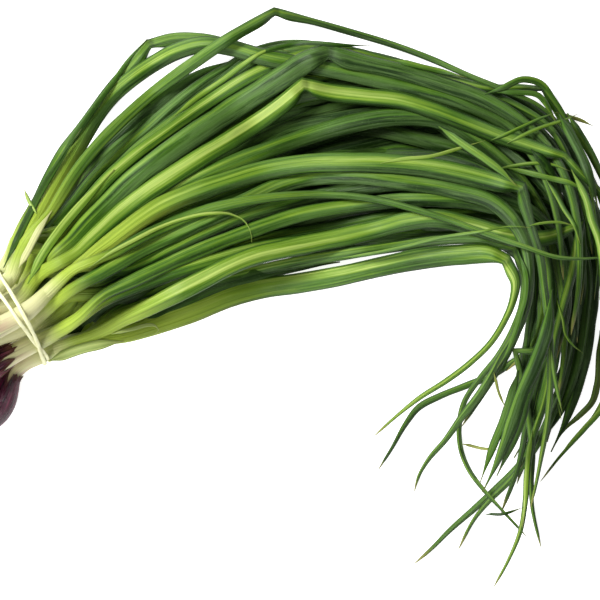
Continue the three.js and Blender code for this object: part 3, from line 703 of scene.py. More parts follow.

# %% [markdown]
# ## Character of each leaf
# Leaves of one bunch differ: young ones are bright and yellowish, old ones dull, and the bloom lies thick
# on some and is rubbed off others. The leaves on top, which everyone sees, get theirs one by one.

# %% Character
# tone: 0 deep green to 1 pale green; bloom: share of wax; lime: length of the lime stretch at the base,
# mm; split: painted light and shade, how much paler the flank towards the light is painted and darker the
# other; ridge: where the flanks meet, -1 right edge to 1 left edge; slim: share of its width that a leaf
# loses in the middle
TRAITS = {
    "onion_1_leaf_3": {"tone": 0.5, "bloom": 0.3, "lime": 30, "split": 0.16, "ridge": 0},
    "onion_1_leaf_4": {"tone": 0.8, "bloom": 0.1, "lime": 85, "split": 0.16, "ridge": 0.1},
    "onion_1_leaf_5": {"tone": 0.7, "bloom": 0.15, "lime": 55, "split": 0.2, "ridge": -0.1},
    "onion_2_leaf_4": {"tone": 0.44, "bloom": 0.2, "lime": 30, "split": 0.16, "ridge": 0.1},
    "onion_2_leaf_5": {"tone": 0.5, "bloom": 0.3, "lime": 30, "split": 0.16, "ridge": 0.1},
    "onion_3_leaf_4": {"tone": 0.36, "bloom": 0.2, "lime": 15, "split": 0.12, "ridge": 0},
    "onion_3_leaf_5": {"tone": 0.42, "bloom": 0.3, "lime": 15, "split": 0.16, "ridge": 0.2},
    "onion_3_leaf_6": {"tone": 0.52, "bloom": 0.3, "lime": 25, "split": 0.2, "ridge": 0},
    "onion_3_leaf_7": {"tone": 0.34, "bloom": 0.35, "lime": 15, "split": 0.16, "ridge": 0},
    "onion_3_leaf_8": {"tone": 0.5, "bloom": 0.3, "lime": 20, "split": 0.2, "ridge": 0.1},
    "onion_4_leaf_3": {"tone": 0.42, "bloom": 0.4, "lime": 25, "split": 0.18, "ridge": -0.1},
    "onion_5_leaf_3": {"tone": 0.54, "bloom": 0.25, "lime": 65, "split": 0.22, "ridge": -0.15},
    "onion_5_leaf_4": {"tone": 0.62, "bloom": 0.4, "lime": 30, "split": 0.12, "ridge": 0, "slim": 0.35},
    "onion_6_leaf_4": {"tone": 0.58, "bloom": 0.1, "lime": 50, "split": 0.18, "ridge": 0},
    "onion_6_leaf_5": {"tone": 0.5, "bloom": 0.4, "lime": 30, "split": 0.2, "ridge": 0.35},
    "onion_6_leaf_6": {"tone": 0.58, "bloom": 0.1, "lime": 40, "split": 0.22, "ridge": -0.25},
    "onion_7_leaf_7": {"tone": 0.38, "bloom": 0.4, "lime": 20, "split": 0.14, "ridge": 0},
    "onion_7_leaf_8": {"tone": 0.5, "bloom": 0.45, "lime": 30, "split": 0.22, "ridge": 0},
    "onion_8_leaf_4": {"tone": 0.46, "bloom": 0.3, "lime": 65, "split": 0.22, "ridge": 0.1},
    "onion_8_leaf_5": {"tone": 0.56, "bloom": 0.35, "lime": 45, "split": 0.14, "ridge": 0},
    "onion_9_leaf_5": {"tone": 0.34, "bloom": 0.4, "lime": 25, "split": 0.14, "ridge": 0.1},
}


def traits_of(node, number):
    """Listed traits, or scattered darker ones for the leaves lower in the pile."""
    if node in TRAITS:
        return TRAITS[node]
    # partly painted shade: the leaves lower in the pile get tones darker on average than those on top,
    # scattered at random
    scatter, other = (number * 0.618) % 1, (number * 0.414) % 1
    return {"tone": 0.1 + 0.46 * scatter, "bloom": 0.1 + 0.35 * other, "lime": 24,
            "split": 0.08 + 0.16 * other, "ridge": 0.6 * scatter - 0.3}


print("leaves with traits by hand:", len(TRAITS))

# %% [markdown]
# ## Foot of a leaf
# A shank is nothing but the rolled-up feet of its leaves, one round another. So every leaf starts as a
# round tube on the shank's own axis, the outermost a little wider than the next, and only opens into its
# own flat shape and its own direction a few centimetres past the mouth. The leaf laid last is the
# outermost. Its height changes sooner, already inside the shank, where it can climb over the leaves of the
# plants below. The feet are solid tubes one inside another, and past the mouth they still cut into each
# other until they have parted.

# %% Foot
def plant_of(node):
    return node.split("_leaf_")[0] + "_bulb"


def foot_radius(node):
    """Radius of a leaf's foot: each leaf is slimmer than the ones laid after it on the same plant."""
    prefix, own = node.rsplit("_", 1)
    later = sum(1 for other in LEAF_NODES if other.rsplit("_", 1)[0] == prefix and
                int(other.rsplit("_", 1)[1]) > int(own))
    return shank_rings[plant_of(node)][1][0] - FOOT_GAP - FOOT_WALL * later


def add_foot(node, line):
    """The leaf's line with a foot before it, bent so that it leaves the mouth along the shank's axis."""
    axis, _ = smooth_stretch(shank_rings[plant_of(node)][0][:5], LEAF_STEP)
    count = int(FOOT_LENGTH / LEAF_STEP)
    outward = axis[0] - axis[2]
    outward /= np.linalg.norm(outward)
    past = np.concatenate([-LEAF_STEP * np.arange(count, 0, -1), arc_lengths(line)])[:, None]
    along_axis = np.vstack([axis[count:0:-1], axis[0] + past[count:] * outward])
    own = np.vstack([np.repeat(line[:1], count, axis=0), line])
    level, climb = smoothstep(past, 0, FOOT_OPENS), smoothstep(past, -FOOT_LENGTH, FOOT_CLIMBS)
    share = np.hstack([level, level, climb])
    return along_axis * (1 - share) + own * share, count


print("foot radius of the first leaf, mm:", round(foot_radius(LEAF_NODES[0]) / MM, 2))

# %% [markdown]
# ## Corner at a fold
# At a fold the outer side stays a sharp corner, the inner side is drawn in to it, and the walls press
# together, after a short stretch where the trapped air makes the tube stand higher.

# %% Fold shape
def fold_shape(line, heading, along, corners, widths):
    """Turn of the section, stretch, press, drawn-in left and right side, and painted crease shade of each
    sample.
    """
    turned, mark, press = np.zeros(len(line)), np.zeros(len(line)), np.ones(len(line))
    pinch = {1: np.zeros(len(line)), -1: np.zeros(len(line))}
    for corner in corners:
        before, after = heading[corner - 2], heading[corner + 2]
        turn = math.atan2(before[0] * after[1] - before[1] * after[0], before @ after)
        distance = along - along[corner]
        reach = max(2.2 * widths[corner] * abs(math.tan(turn / 2)), FOLD_REACH / 2)
        weight = np.clip(1 - np.abs(distance) / reach, 0, 1)
        turned += np.where(distance < 0, 1, -1) * weight * turn / 2 * (np.arange(len(line)) != corner)
        press *= 1 - 0.8 * np.exp(-(distance / (0.4 * FOLD_REACH)) ** 2)
        press *= 1 + 0.55 * np.exp(-((distance + 0.75 * FOLD_REACH) / (0.5 * FOLD_REACH)) ** 2)
        # painted shade: a narrow dark line just past each fold corner, where the crease lies in shadow
        mark = np.maximum(mark, np.exp(-((distance - 1.2 * MM) / (1.3 * MM)) ** 2))
        inner = 1 if turn > 0 else -1
        drawn = FOLD_PINCH * np.exp(-(distance / (0.7 * FOLD_REACH)) ** 2)
        pinch[inner] = np.maximum(pinch[inner], drawn)
    stretch = 1 / np.maximum(np.cos(turned), 0.5)
    for corner in corners:
        before, after = heading[corner - 2], heading[corner + 2]
        stretch[corner] = 1 / math.sqrt(max((1 + before @ after) / 2, 0.25))
    return turned, stretch, press, pinch, mark


print("fold reach, mm:", round(FOLD_REACH / MM, 1))

# %% [markdown]
# ## Course of a leaf
# The course is everything about a leaf but its section: the line with its foot, the places of the folds,
# and how wide and tall the tube is all along. Past the shoulder the leaves are slimmer than before it.

# %% Course
def leaf_course(node):
    """Line with its foot, metres along it, folds, and half width, crown and belly of each sample."""
    centres, ring_widths, ring_heights = (part.copy() for part in leaf_rings[node])
    folds = find_folds(ring_widths)
    ring_widths[folds] /= FOLD_WIDENING
    for i in folds:
        ring_heights[i] = (ring_heights[i - 1] + ring_heights[i + 1]) / 2
    line, places, corners = leaf_line(centres, folds, LEAF_STEP)
    widths = blur(np.interp(places, np.arange(len(ring_widths)), ring_widths), 3)
    heights = blur(np.interp(places, np.arange(len(ring_heights)), ring_heights), 2)
    crown = swell(node, line, heights, widths, up=True)
    belly = swell(node, line, heights, widths, up=False)
    line, first = add_foot(node, line)
    along = arc_lengths(line) - first * LEAF_STEP
    rolled_up = 1 - smoothstep(along, 0, FOOT_OPENS)
    radius = foot_radius(node)
    shape = (np.concatenate([np.full(first, part[0]), part]) for part in (widths, crown, belly))
    widths, crown, belly = (part + (radius - part) * rolled_up for part in shape)
    return line, along, [corner + first for corner in corners], widths, crown, belly


def slimmed(widths, line, along, slim):
    """Half widths of a leaf that slims over the shoulder, and by its share slim in the middle."""
    crossing = int(np.argmax(line[:, 0] > SHOULDER_X))
    past_shoulder = along - along[crossing] if crossing else np.full(len(line), -1.0)
    slimming = smoothstep(past_shoulder, 0, 45 * MM) * smoothstep(along[-1] - along, 10 * MM, 90 * MM)
    by_nature = slim * smoothstep(along / along[-1], 0.25, 0.5)
    return widths * (1 - PAST_SHOULDER_SLIMS * slimming) * (1 - by_nature)


print("line of the first leaf, samples:", len(leaf_course(LEAF_NODES[0])[0]))

# %% [markdown]
# ## Marks of a leaf
# The leaf material asks the mesh what kind of leaf it is and how far along a point lies. These marks
# answer: deeper green from the shoulder on, lime and cream at the base, straw at the tip. They also carry
# painted light and shade: a paler flank towards the key lamp, darker sides and a dark crease at each fold.

# %% Marks
LIGHT_SIDE = np.array([-0.6, 0.8, 0])  # level direction from which the key light comes
SHOULDER_SHADE = 0.26  # how much deeper the green is from the shoulder on
EDGE_PAINTED_SHADE = 0.45  # painted shade: how much deeper the green is at the sides, for the dark gaps between leaves


def leaf_marks(traits, number, along, across, flank, open_share, fold_painted_shade):
    """The named values that the leaf material reads; flank is 1 towards the light and -1 away from it."""
    share = along / along[-1]
    to_tip = along[-1] - along
    lime_length = traits["lime"] * MM
    return {
        "leaf_seed": (number * 0.377) % 1,
        "leaf_tone": traits["tone"] - SHOULDER_SHADE * smoothstep(share, 0.3, 0.55)
        + 0.5 * SHOULDER_SHADE * smoothstep(share, 0.6, 0.9),
        "leaf_painted_light_and_shade": traits["split"] * flank * open_share[:, None]
        - EDGE_PAINTED_SHADE * smoothstep(np.abs(across), 0.64, 1),
        "leaf_bloom": traits["bloom"] * smoothstep(along, 30 * MM, 110 * MM),
        "leaf_lime": 0.85 * (1 - smoothstep(along, 0.3 * lime_length, 1.7 * lime_length)),
        "leaf_cream": 1 - smoothstep(along, -16 * MM, 8 * MM),
        "leaf_dry": 0.8 * (1 - smoothstep(to_tip, 1 * MM, 14 * MM * ((number * 0.732) % 1 + 0.3))),
        "leaf_fold_painted_shade": 0.8 * fold_painted_shade,
    }


print("marks ready")

# %% [markdown]
# ## The leaves
# Each leaf is one closed tube: it starts inside its shank, opens, follows its line over the folds and ends
# in a point. Each tube stands for the plain solid of the same name.

# %% Make a leaf
def level_left(heading):
    return np.column_stack([-heading[:, 1], heading[:, 0], np.zeros(len(heading))])


def make_leaf(node, number):
    traits = traits_of(node, number)
    line, along, corners, widths, crown, belly = leaf_course(node)
    heading = headings(line, corners)
    left = level_left(heading)
    widths = slimmed(widths, line, along, traits.get("slim", 0))
    turned, stretch, press, pinch, fold_painted_shade = fold_shape(line, heading, along, corners, widths)
    cosine, sine = np.cos(turned), np.sin(turned)
    side = np.column_stack([left[:, 0] * cosine - left[:, 1] * sine,
                            left[:, 0] * sine + left[:, 1] * cosine, np.zeros(len(line))])

    # a fine point at the tip
    sharpen = np.clip((along[-1] - along) / TIP_LENGTH, 0, 1) ** 0.8
    widths = widths * (0.12 + 0.88 * sharpen)
    crown = crown * (0.2 + 0.8 * sharpen) * press
    belly = belly * (0.2 + 0.8 * sharpen) * press

    length = len(line)
    open_share = smoothstep(along, 10 * MM, 60 * MM)
    ridge = np.clip(traits["ridge"] + wander(length, 11 * number, 70 * MM, -0.3, 0.3), -0.6, 0.6)
    tent = wander(length, 13 * number, 90 * MM, 0.25, 0.85) * open_share
    roll = np.radians(wander(length, 17 * number, 60 * MM, -10, 10)) * open_share
    across, up = section(ridge, tent)
    edge_wave = 1 + 0.05 * wander(length, 19 * number, 14 * MM, -1, 1)
    half_width = (widths * stretch * edge_wave)[:, None, None]
    tall = np.where(up > 0, crown[:, None] * up, belly[:, None] * up)[:, :, None]
    rolled_side = side * np.cos(roll)[:, None] + np.array([0, 0, 1]) * np.sin(roll)[:, None]
    drawn_in = np.where(across > 0, 1 - pinch[1][:, None], 1 - pinch[-1][:, None])[:, :, None]
    grid = line[:, None, :] + rolled_side[:, None, :] * across[:, :, None] * drawn_in * half_width
    grid = grid + np.array([0, 0, 1]) * tall
    grid[:, :, 2] = np.maximum(grid[:, :, 2], LEAF_LOWEST)

    # painted light and shade: the flank that faces the key lamp is marked paler, the other darker
    lit_side = np.where(left @ LIGHT_SIDE > 0, 1, -1)[:, None]
    flank = np.clip((across - ridge[:, None]) * lit_side / 0.12, -1, 1) * (tent[:, None] > 0.05)
    marks = leaf_marks(traits, number, along, across, flank, open_share, fold_painted_shade)
    piece = loft(f"{node}_tube", grid, LEAF_MATERIAL, marks, along)
    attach(piece, "root")
    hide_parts(node)
    return piece


leaves = [make_leaf(node, number + 1) for number, node in enumerate(LEAF_NODES)]
print("leaves:", len(leaves), "faces:", sum(len(leaf.data.polygons) for leaf in leaves))

# %% [markdown]
# ## Bulb and shank finish
# The shank is cream with fine lengthwise lines, flushed pink towards the bulb and pale green towards the
# leaves. The bulb under its skin is wine red.

# %% Shank material
CREAM = (0.72, 0.7, 0.37)
COLLAR_GREEN = (0.36, 0.45, 0.08)
PINK = (0.52, 0.3, 0.24)
WINE = (0.1, 0.012, 0.045)


def make_shank_material():
    material, shader = principled("cream_shank")
    tree = material.node_tree
    place, seed = texture_place(tree), mesh_value(tree, "shank_seed")
    veins = use_group(tree, VEINS, Place=place, Across=520, Along=10, Seed=seed)
    patches = use_group(tree, PATCHES, Place=place, Across=160, Along=30, Seed=seed, Cover=0.5)
    streaked = math_node(tree, "MULTIPLY", veins.outputs["Streak"], 0.35)
    base = mix_colour(tree, streaked, CREAM, (0.56, 0.56, 0.25))
    green_mask = math_node(tree, "MULTIPLY", mesh_value(tree, "shank_green"),
                           math_node(tree, "ADD", streaked, 0.6), clamp=True)
    greened = mix_colour(tree, green_mask, base, COLLAR_GREEN)
    flush = math_node(tree, "MULTIPLY", mesh_value(tree, "shank_flush"), patches.outputs["Mask"])
    flushed = mix_colour(tree, flush, greened, PINK)
    centred = math_node(tree, "SUBTRACT", veins.outputs["Streak"], 0.5)
    wine_streaks = math_node(tree, "MULTIPLY", centred, mesh_value(tree, "shank_flush"))
    wine_mask = math_node(tree, "ADD", mesh_value(tree, "shank_wine"), wine_streaks, clamp=True)
    wined = mix_colour(tree, wine_mask, flushed, WINE)
    tree.links.new(wined, shader.inputs["Base Color"])
    rough = math_node(tree, "ADD", math_node(tree, "MULTIPLY", veins.outputs["Rib"], 0.12), 0.34)
    tree.links.new(rough, shader.inputs["Roughness"])
    height = math_node(tree, "ADD", veins.outputs["Rib"], veins.outputs["Streak"])
    tree.links.new(bump(tree, height, 0.0002, 0.45), shader.inputs["Normal"])
    return material


SHANK_MATERIAL = make_shank_material()
print("shank material ready")

# %% [markdown]
# ## Bulbs and shanks
# The frame gives the axis and the radius. The surface adds the low ribs of the scales inside, and ends in
# an open sleeve with a slanting mouth, because the shank of a spring onion is nothing but the rolled-up
# feet of its leaves. The leaves come out of that mouth.

# %% Make a shank
SHANK_AROUND = 32
SHANK_STEP = 2.5 * MM
SLEEVE_WALL = 0.3 * MM
SLEEVE_DEPTH = 12 * MM
TONGUE = 13 * MM  # how far the long side of the mouth stands out


def sample_axis(centres, values, step):
    line, places = smooth_stretch(centres, step)
    return line, np.interp(places, np.arange(len(values)), values)


def frames_along(line):
    """Unit tangent, level left and upright of each sample."""
    tangent = np.gradient(line, axis=0)
    tangent /= np.linalg.norm(tangent, axis=1)[:, None]
    left = np.column_stack([-tangent[:, 1], tangent[:, 0], np.zeros(len(line))])
    left /= np.linalg.norm(left, axis=1)[:, None]
    return tangent, left, np.cross(tangent, left)


def spokes_round(left, up, angle):
    """Unit directions from the axis outwards, one for each sample and angle."""
    level = left[:, None, :] * np.cos(angle)[None, :, None]
    return level + up[:, None, :] * np.sin(angle)[None, :, None]


def shank_line(node):
    """Axis from root plate to collar, radius at each sample, and where the bulb is widest."""
    centres, radii, _ = shank_rings[node]
    line, radius = sample_axis(centres[::-1], radii[::-1], SHANK_STEP)
    radius = blur(radius, 1.5)
    return line, radius, int(np.argmax(radius))


def make_shank(node, number):
    line, radius, widest = shank_line(node)
    along = arc_lengths(line)
    from_bulb = along - along[widest]
    tangent, left, up = frames_along(line)
    angle = 2 * np.pi * np.arange(SHANK_AROUND) / SHANK_AROUND
    source = random.Random(100 + number)
    ribs = sum(0.012 * math.pow(0.7, k) * np.cos((5 + 3 * k) * angle + source.uniform(0, 6))
               for k in range(3))
    round_share = smoothstep(from_bulb, 60 * MM, -10 * MM)[:, None]
    reach = radius[:, None] * (1 + ribs[None, :] * (0.6 + 0.8 * round_share))
    spokes = spokes_round(left, up, angle)
    outer = line[:, None, :] + spokes * reach[:, :, None]
    # the mouth: a long tongue on one side, cut back on the other
    side = source.uniform(0, 2 * math.pi)
    tongue = (0.5 + 0.5 * np.cos(angle - side)) ** 2 * TONGUE - 3 * MM
    share = smoothstep(along, along[-1] - 22 * MM, along[-1])[:, None]
    outer = outer + tangent[-1] * (share * tongue[None, :])[:, :, None]
    depth = np.linspace(0, SLEEVE_DEPTH, 5)[1:]
    wall = (reach[-1] - SLEEVE_WALL)[None, :, None] * spokes[-1][None, :, :] + line[-1]
    inner = wall + tangent[-1] * (tongue[None, :] * (1 - depth / SLEEVE_DEPTH)[:, None])[:, :, None]
    inner = inner - tangent[-1] * depth[:, None, None]
    lip = wall + tangent[-1] * tongue[None, :, None]
    grid = np.concatenate([outer, lip, inner])
    grid[:, :, 2] = np.maximum(grid[:, :, 2], 0.1 * MM)
    extra = len(grid) - len(line)
    from_bulb = np.concatenate([from_bulb, np.full(extra, from_bulb[-1])])
    to_collar = from_bulb[-1] - from_bulb
    marks = {
        "shank_seed": (number * 0.271) % 1,
        "shank_green": 1.1 * (1 - smoothstep(to_collar, 0, 26 * MM)),
        "shank_flush": 0.7 * (1 - smoothstep(from_bulb, 18 * MM, 40 * MM)),
        "shank_wine": 1 - smoothstep(from_bulb, 4 * MM, 18 * MM),
    }
    piece = loft(f"{node}_and_shank", grid, SHANK_MATERIAL, marks)
    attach(piece, "root")
    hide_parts(node)
    return piece


shanks = [make_shank(node, number + 1) for number, node in enumerate(BULB_NODES)]
print("shanks:", len(shanks))

# %% [markdown]
# ## Rubber band
# A stretched band runs straight from shank to shank, so its path is the convex hull of the shanks where it
# crosses them. It is one band wound twice: halfway round, each turn changes sides with the other, and where
# they cross the upper one rides over the lower.

# %% Rubber band
TIE_FOOT = np.array([*plan(47, 361), 0])
TIE_LINE = np.array([-1, 2, 0]) / math.sqrt(5)
TIE_AXIS = np.array([2, 1, 0]) / math.sqrt(5)
TIE_WIDTH = 71 * MM
BAND_LEAN = 7.5 * MM
BAND_HALF_SPREAD = (2.7 * MM, 4 * MM)  # between the turns, at the lower and at the upper end of the tie
BAND_HALF_WIDTH = 1.15 * MM
BAND_HALF_THICKNESS = 0.5 * MM
BAND_CROSSING = 0.86  # where the turns cross, as a share of one turn
BAND_RINGS = 420
BAND_CORNERS = 12


def band_lean(u):
    return -BAND_LEAN * (np.maximum(u, 0) / TIE_WIDTH) ** 2


def hull_of_shanks():
    """Outline of the shanks in the plane of the band, as (along the tie, height), counter-clockwise."""
    outline = []
    for node in BULB_NODES:
        line, radius, _ = shank_line(node)
        local = line - TIE_FOOT
        u = local @ TIE_LINE
        near = np.abs(local @ TIE_AXIS - band_lean(u)) < BAND_HALF_SPREAD[1]
        for (across, z), r in zip(zip(u[near], line[near, 2]), radius[near]):
            for angle in np.linspace(0, 2 * math.pi, 32, endpoint=False):
                reach = r + BAND_HALF_THICKNESS
                outline.append((across + reach * math.cos(angle), z + reach * math.sin(angle)))
    outline.sort()

    def chain(points):
        kept = []
        for point in points:
            while len(kept) > 1 and ((kept[-1][0] - kept[-2][0]) * (point[1] - kept[-2][1])
                                     - (kept[-1][1] - kept[-2][1]) * (point[0] - kept[-2][0])) <= 0:
                kept.pop()
            kept.append(point)
        return kept[:-1]

    return np.array(chain(outline) + chain(outline[::-1]))


def make_band_material():
    material, shader = principled("pale_rubber")
    tree = material.node_tree
    place = texture_place(tree)
    patches = use_group(tree, PATCHES, Place=place, Across=300, Along=120, Seed=0.3, Cover=0.5)
    dust = use_group(tree, SPECKS, Size=1600)
    dulled = mix_colour(tree, patches.outputs["Mask"], (0.9, 0.9, 0.55), (0.78, 0.76, 0.42))
    dusty = math_node(tree, "MULTIPLY", dust.outputs["Mask"], 0.4)
    colour = mix_colour(tree, dusty, dulled, (0.9, 0.9, 0.7))
    tree.links.new(colour, shader.inputs["Base Color"])
    tree.links.new(bump(tree, patches.outputs["Mask"], 0.0002, 0.5), shader.inputs["Normal"])
    shader.inputs["Roughness"].default_value = 0.55
    return material


def make_band():
    hull = hull_of_shanks()
    closed = np.vstack([hull, hull[:1]])
    reach = arc_lengths(closed)
    turns = np.linspace(0, 2, BAND_RINGS)
    place = (turns + BAND_CROSSING + 0.5) % 1

    def on_hull(share):
        at = (share % 1) * reach[-1]
        return np.column_stack([np.interp(at, reach, closed[:, 0]), np.interp(at, reach, closed[:, 1])])

    middle = on_hull(place)
    forward = on_hull(place + 0.008) - on_hull(place - 0.008)
    forward /= np.linalg.norm(forward, axis=1)[:, None]
    outward = np.column_stack([forward[:, 1], -forward[:, 0]])
    swing = np.cos(turns * math.pi)
    swing = np.sign(swing) * np.abs(swing) ** 0.55
    spread = np.interp(middle[:, 0], [0, TIE_WIDTH], BAND_HALF_SPREAD)
    sideways = swing * spread + band_lean(middle[:, 0])
    lift = 2.1 * BAND_HALF_THICKNESS * np.clip(np.sin(turns * math.pi), 0, 1) ** 10
    middle = middle + outward * lift[:, None]
    angle = 2 * np.pi * np.arange(BAND_CORNERS) / BAND_CORNERS
    wide = np.sign(np.cos(angle)) * np.abs(np.cos(angle)) ** 0.7 * BAND_HALF_WIDTH
    thick = np.sign(np.sin(angle)) * np.abs(np.sin(angle)) ** 0.7 * BAND_HALF_THICKNESS
    wave = 1 + 0.06 * np.sin(turns * 23) + 0.05 * np.sin(turns * 57)
    flat = middle[:, None, :] + outward[:, None, :] * thick[None, :, None]
    along_axis = sideways[:, None] + wide[None, :] * wave[:, None]
    grid = (TIE_FOOT + flat[:, :, :1] * TIE_LINE + flat[:, :, 1:] * np.array([0, 0, 1])
            + along_axis[:, :, None] * TIE_AXIS)
    grid[:, :, 2] = np.maximum(grid[:, :, 2], 0.2 * MM)
    piece = loft("rubber_band_twice_round", grid, make_band_material())
    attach(piece, "root")
    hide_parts("rubber_band")
    return len(hull)


print("corners of the hull:", make_band())

# %% [markdown]
# ## Skins
# The bulb wears a thin purple skin that has dried and torn at the neck. It is a shell that follows the
# bulb a hair's breadth off, wrinkled lengthwise, with an edge that runs up and down in tatters. Because its
# inner side shows at the tatters, it is a real sheet with two sides.

# %% Skins
SKIN_AROUND = 64
SKIN_RINGS = 34
SKIN_GAP = 0.3 * MM
SKIN_WALL = 0.12 * MM
SKIN_EDGE = 21 * MM  # from the bulb's widest place to the middle of the torn edge
SKIN_DARK_AND_PAINTED_SHADE = (0.012, 0.001, 0.006)
SKIN_WINE = (0.08, 0.005, 0.026)
SKIN_MAUVE_AND_PAINTED_HIGHLIGHT = (0.26, 0.06, 0.11)
SKIN_BROWN = (0.12, 0.05, 0.025)


def make_skin_material():
    material, shader = principled("purple_skin")
    tree = material.node_tree
    place, seed = texture_place(tree), mesh_value(tree, "skin_seed")
    veins = use_group(tree, VEINS, Place=place, Across=420, Along=14, Seed=seed)
    patches = use_group(tree, PATCHES, Place=place, Across=90, Along=50, Seed=seed, Cover=0.45)
    cloudy = math_node(tree, "MULTIPLY", patches.outputs["Mask"], 0.45)
    streaked = math_node(tree, "MULTIPLY", veins.outputs["Streak"], 0.6)
    shade = math_node(tree, "ADD", cloudy, streaked, clamp=True)
    # partly real, partly painted light: random patches run from near black, partly painted shade, through
    # wine to mauve, partly painted highlight
    wine = colour_stops(tree, shade, [(0.1, SKIN_DARK_AND_PAINTED_SHADE), (0.6, SKIN_WINE), (1, SKIN_MAUVE_AND_PAINTED_HIGHLIGHT)])
    torn = math_node(tree, "MULTIPLY", mesh_value(tree, "skin_edge"),
                     math_node(tree, "ADD", veins.outputs["Rib"], 0.3), clamp=True)
    tree.links.new(mix_colour(tree, torn, wine, SKIN_BROWN), shader.inputs["Base Color"])
    rough = math_node(tree, "ADD", math_node(tree, "MULTIPLY", patches.outputs["Mask"], 0.2), 0.24)
    tree.links.new(rough, shader.inputs["Roughness"])
    height = math_node(tree, "ADD", veins.outputs["Rib"], veins.outputs["Streak"])
    tree.links.new(bump(tree, height, 0.0004, 0.7), shader.inputs["Normal"])
    shader.inputs["Specular IOR Level"].default_value = 0.3
    return material


SKIN_MATERIAL = make_skin_material()


def tatter(angle, source):
    """How far the torn edge stands forward at each angle, from -1 to 1, with a few deep rips."""
    slow = sum(math.pow(0.75, k) * np.cos((k + 1) * angle + source.uniform(0, 6)) for k in range(4)) / 2.7
    quick = np.array([source.uniform(-1, 1) for _ in angle])
    rips = sum(np.exp(-((np.cos(angle - source.uniform(0, 6)) - 1) / 0.01) ** 2) for _ in range(4))
    return 0.75 * slow + 0.3 * quick - 1.1 * rips


def make_skin(node, number):
    line, radius, widest = shank_line(node)
    along = arc_lengths(line)
    from_bulb = along - along[widest]
    _, left, up = frames_along(line)
    source = random.Random(300 + number)
    angle = 2 * np.pi * np.arange(SKIN_AROUND) / SKIN_AROUND
    start = from_bulb[0] + 1.2 * MM
    edge = SKIN_EDGE + 7 * MM * tatter(angle, source)
    share = np.linspace(0, 1, SKIN_RINGS)[:, None]
    distance = start + (edge[None, :] - start) * share
    wrinkle = sum(0.1 * math.pow(0.8, k) * np.cos((9 + 5 * k) * angle + source.uniform(0, 6))
                  for k in range(3))
    lobes = 0.5 + 0.5 * np.cos(3 * angle + source.uniform(0, 6))
    curl = 1.1 * MM * smoothstep(share, 0.82, 1) * lobes[None, :]

    def at(values):
        return np.stack([np.interp(distance, from_bulb, values[:, c]) for c in range(3)], axis=2)

    spokes = at(left) * np.cos(angle)[None, :, None] + at(up) * np.sin(angle)[None, :, None]
    reach = np.interp(distance, from_bulb, radius) * 1.02 + SKIN_GAP + 0.3 * MM * wrinkle[None, :] + curl
    outer = at(line) + spokes * reach[:, :, None]
    inner = at(line) + spokes * (reach - SKIN_WALL)[:, :, None]
    grid = np.concatenate([outer, inner[::-1]])
    grid[:, :, 2] = np.maximum(grid[:, :, 2], 0.1 * MM)
    torn = np.concatenate([share, share[::-1]])[:, 0]
    marks = {"skin_seed": (number * 0.433) % 1, "skin_edge": smoothstep(torn, 0.8, 1)}
    piece = loft(f"{node}_skin", grid, SKIN_MATERIAL, marks)
    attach(piece, "root")
    return piece


skins = [make_skin(node, number + 1) for number, node in enumerate(BULB_NODES)]
print("skins:", len(skins))

# %% [markdown]
# ## Roots
# A tuft of trimmed roots springs from the plate under each bulb: thin, curly and straw-coloured. One mesh
# holds the whole tuft. Each root is a walk whose direction drifts a little at every step.

# %% Roots
ROOTS_PER_BULB = 26
ROOT_STEP = 1.6 * MM
ROOT_CORNERS = 5


def make_root_material():
    material, shader = principled("dry_root")
    tree = material.node_tree
    place, seed = texture_place(tree), mesh_value(tree, "root_seed")
    patches = use_group(tree, PATCHES, Place=place, Across=500, Along=160, Seed=seed, Cover=0.5)
    colour = mix_colour(tree, patches.outputs["Mask"], (0.36, 0.24, 0.12), (0.6, 0.48, 0.3))
    tree.links.new(colour, shader.inputs["Base Color"])
    tree.links.new(bump(tree, patches.outputs["Mask"], 0.0003, 0.6), shader.inputs["Normal"])
    shader.inputs["Roughness"].default_value = 0.75
    return material


ROOT_MATERIAL = make_root_material()


def root_walk(start, direction, steps, source):
    line, heading = [start], direction
    for _ in range(steps):
        drift = np.array([source.gauss(0, 1) for _ in range(3)])
        heading = heading + 0.28 * drift + np.array([0, 0, -0.06])
        heading = heading / np.linalg.norm(heading)
        point = line[-1] + heading * ROOT_STEP
        point[2] = max(point[2], 0.5 * MM)
        line.append(point)
    return np.array(line)


def tube_round(line, radius, corners):
    """Rings of a thin tube round a line; radius is one value for each sample."""
    tangent = np.gradient(line, axis=0)
    tangent /= np.linalg.norm(tangent, axis=1)[:, None]
    left = np.cross(tangent, [0.31, 0.17, 0.94])
    left /= np.linalg.norm(left, axis=1)[:, None]
    up = np.cross(tangent, left)
    angle = 2 * np.pi * np.arange(corners) / corners
    spokes = spokes_round(left, up, angle)
    return line[:, None, :] + spokes * np.asarray(radius)[:, None, None]


def join(pieces, name):
    """The first piece with the meshes of all others in it."""
    for other in bpy.context.selected_objects:
        other.select_set(False)
    for piece in pieces:
        piece.select_set(True)
    bpy.context.view_layer.objects.active = pieces[0]
    bpy.ops.object.join()
    pieces[0].name = name
    return pieces[0]


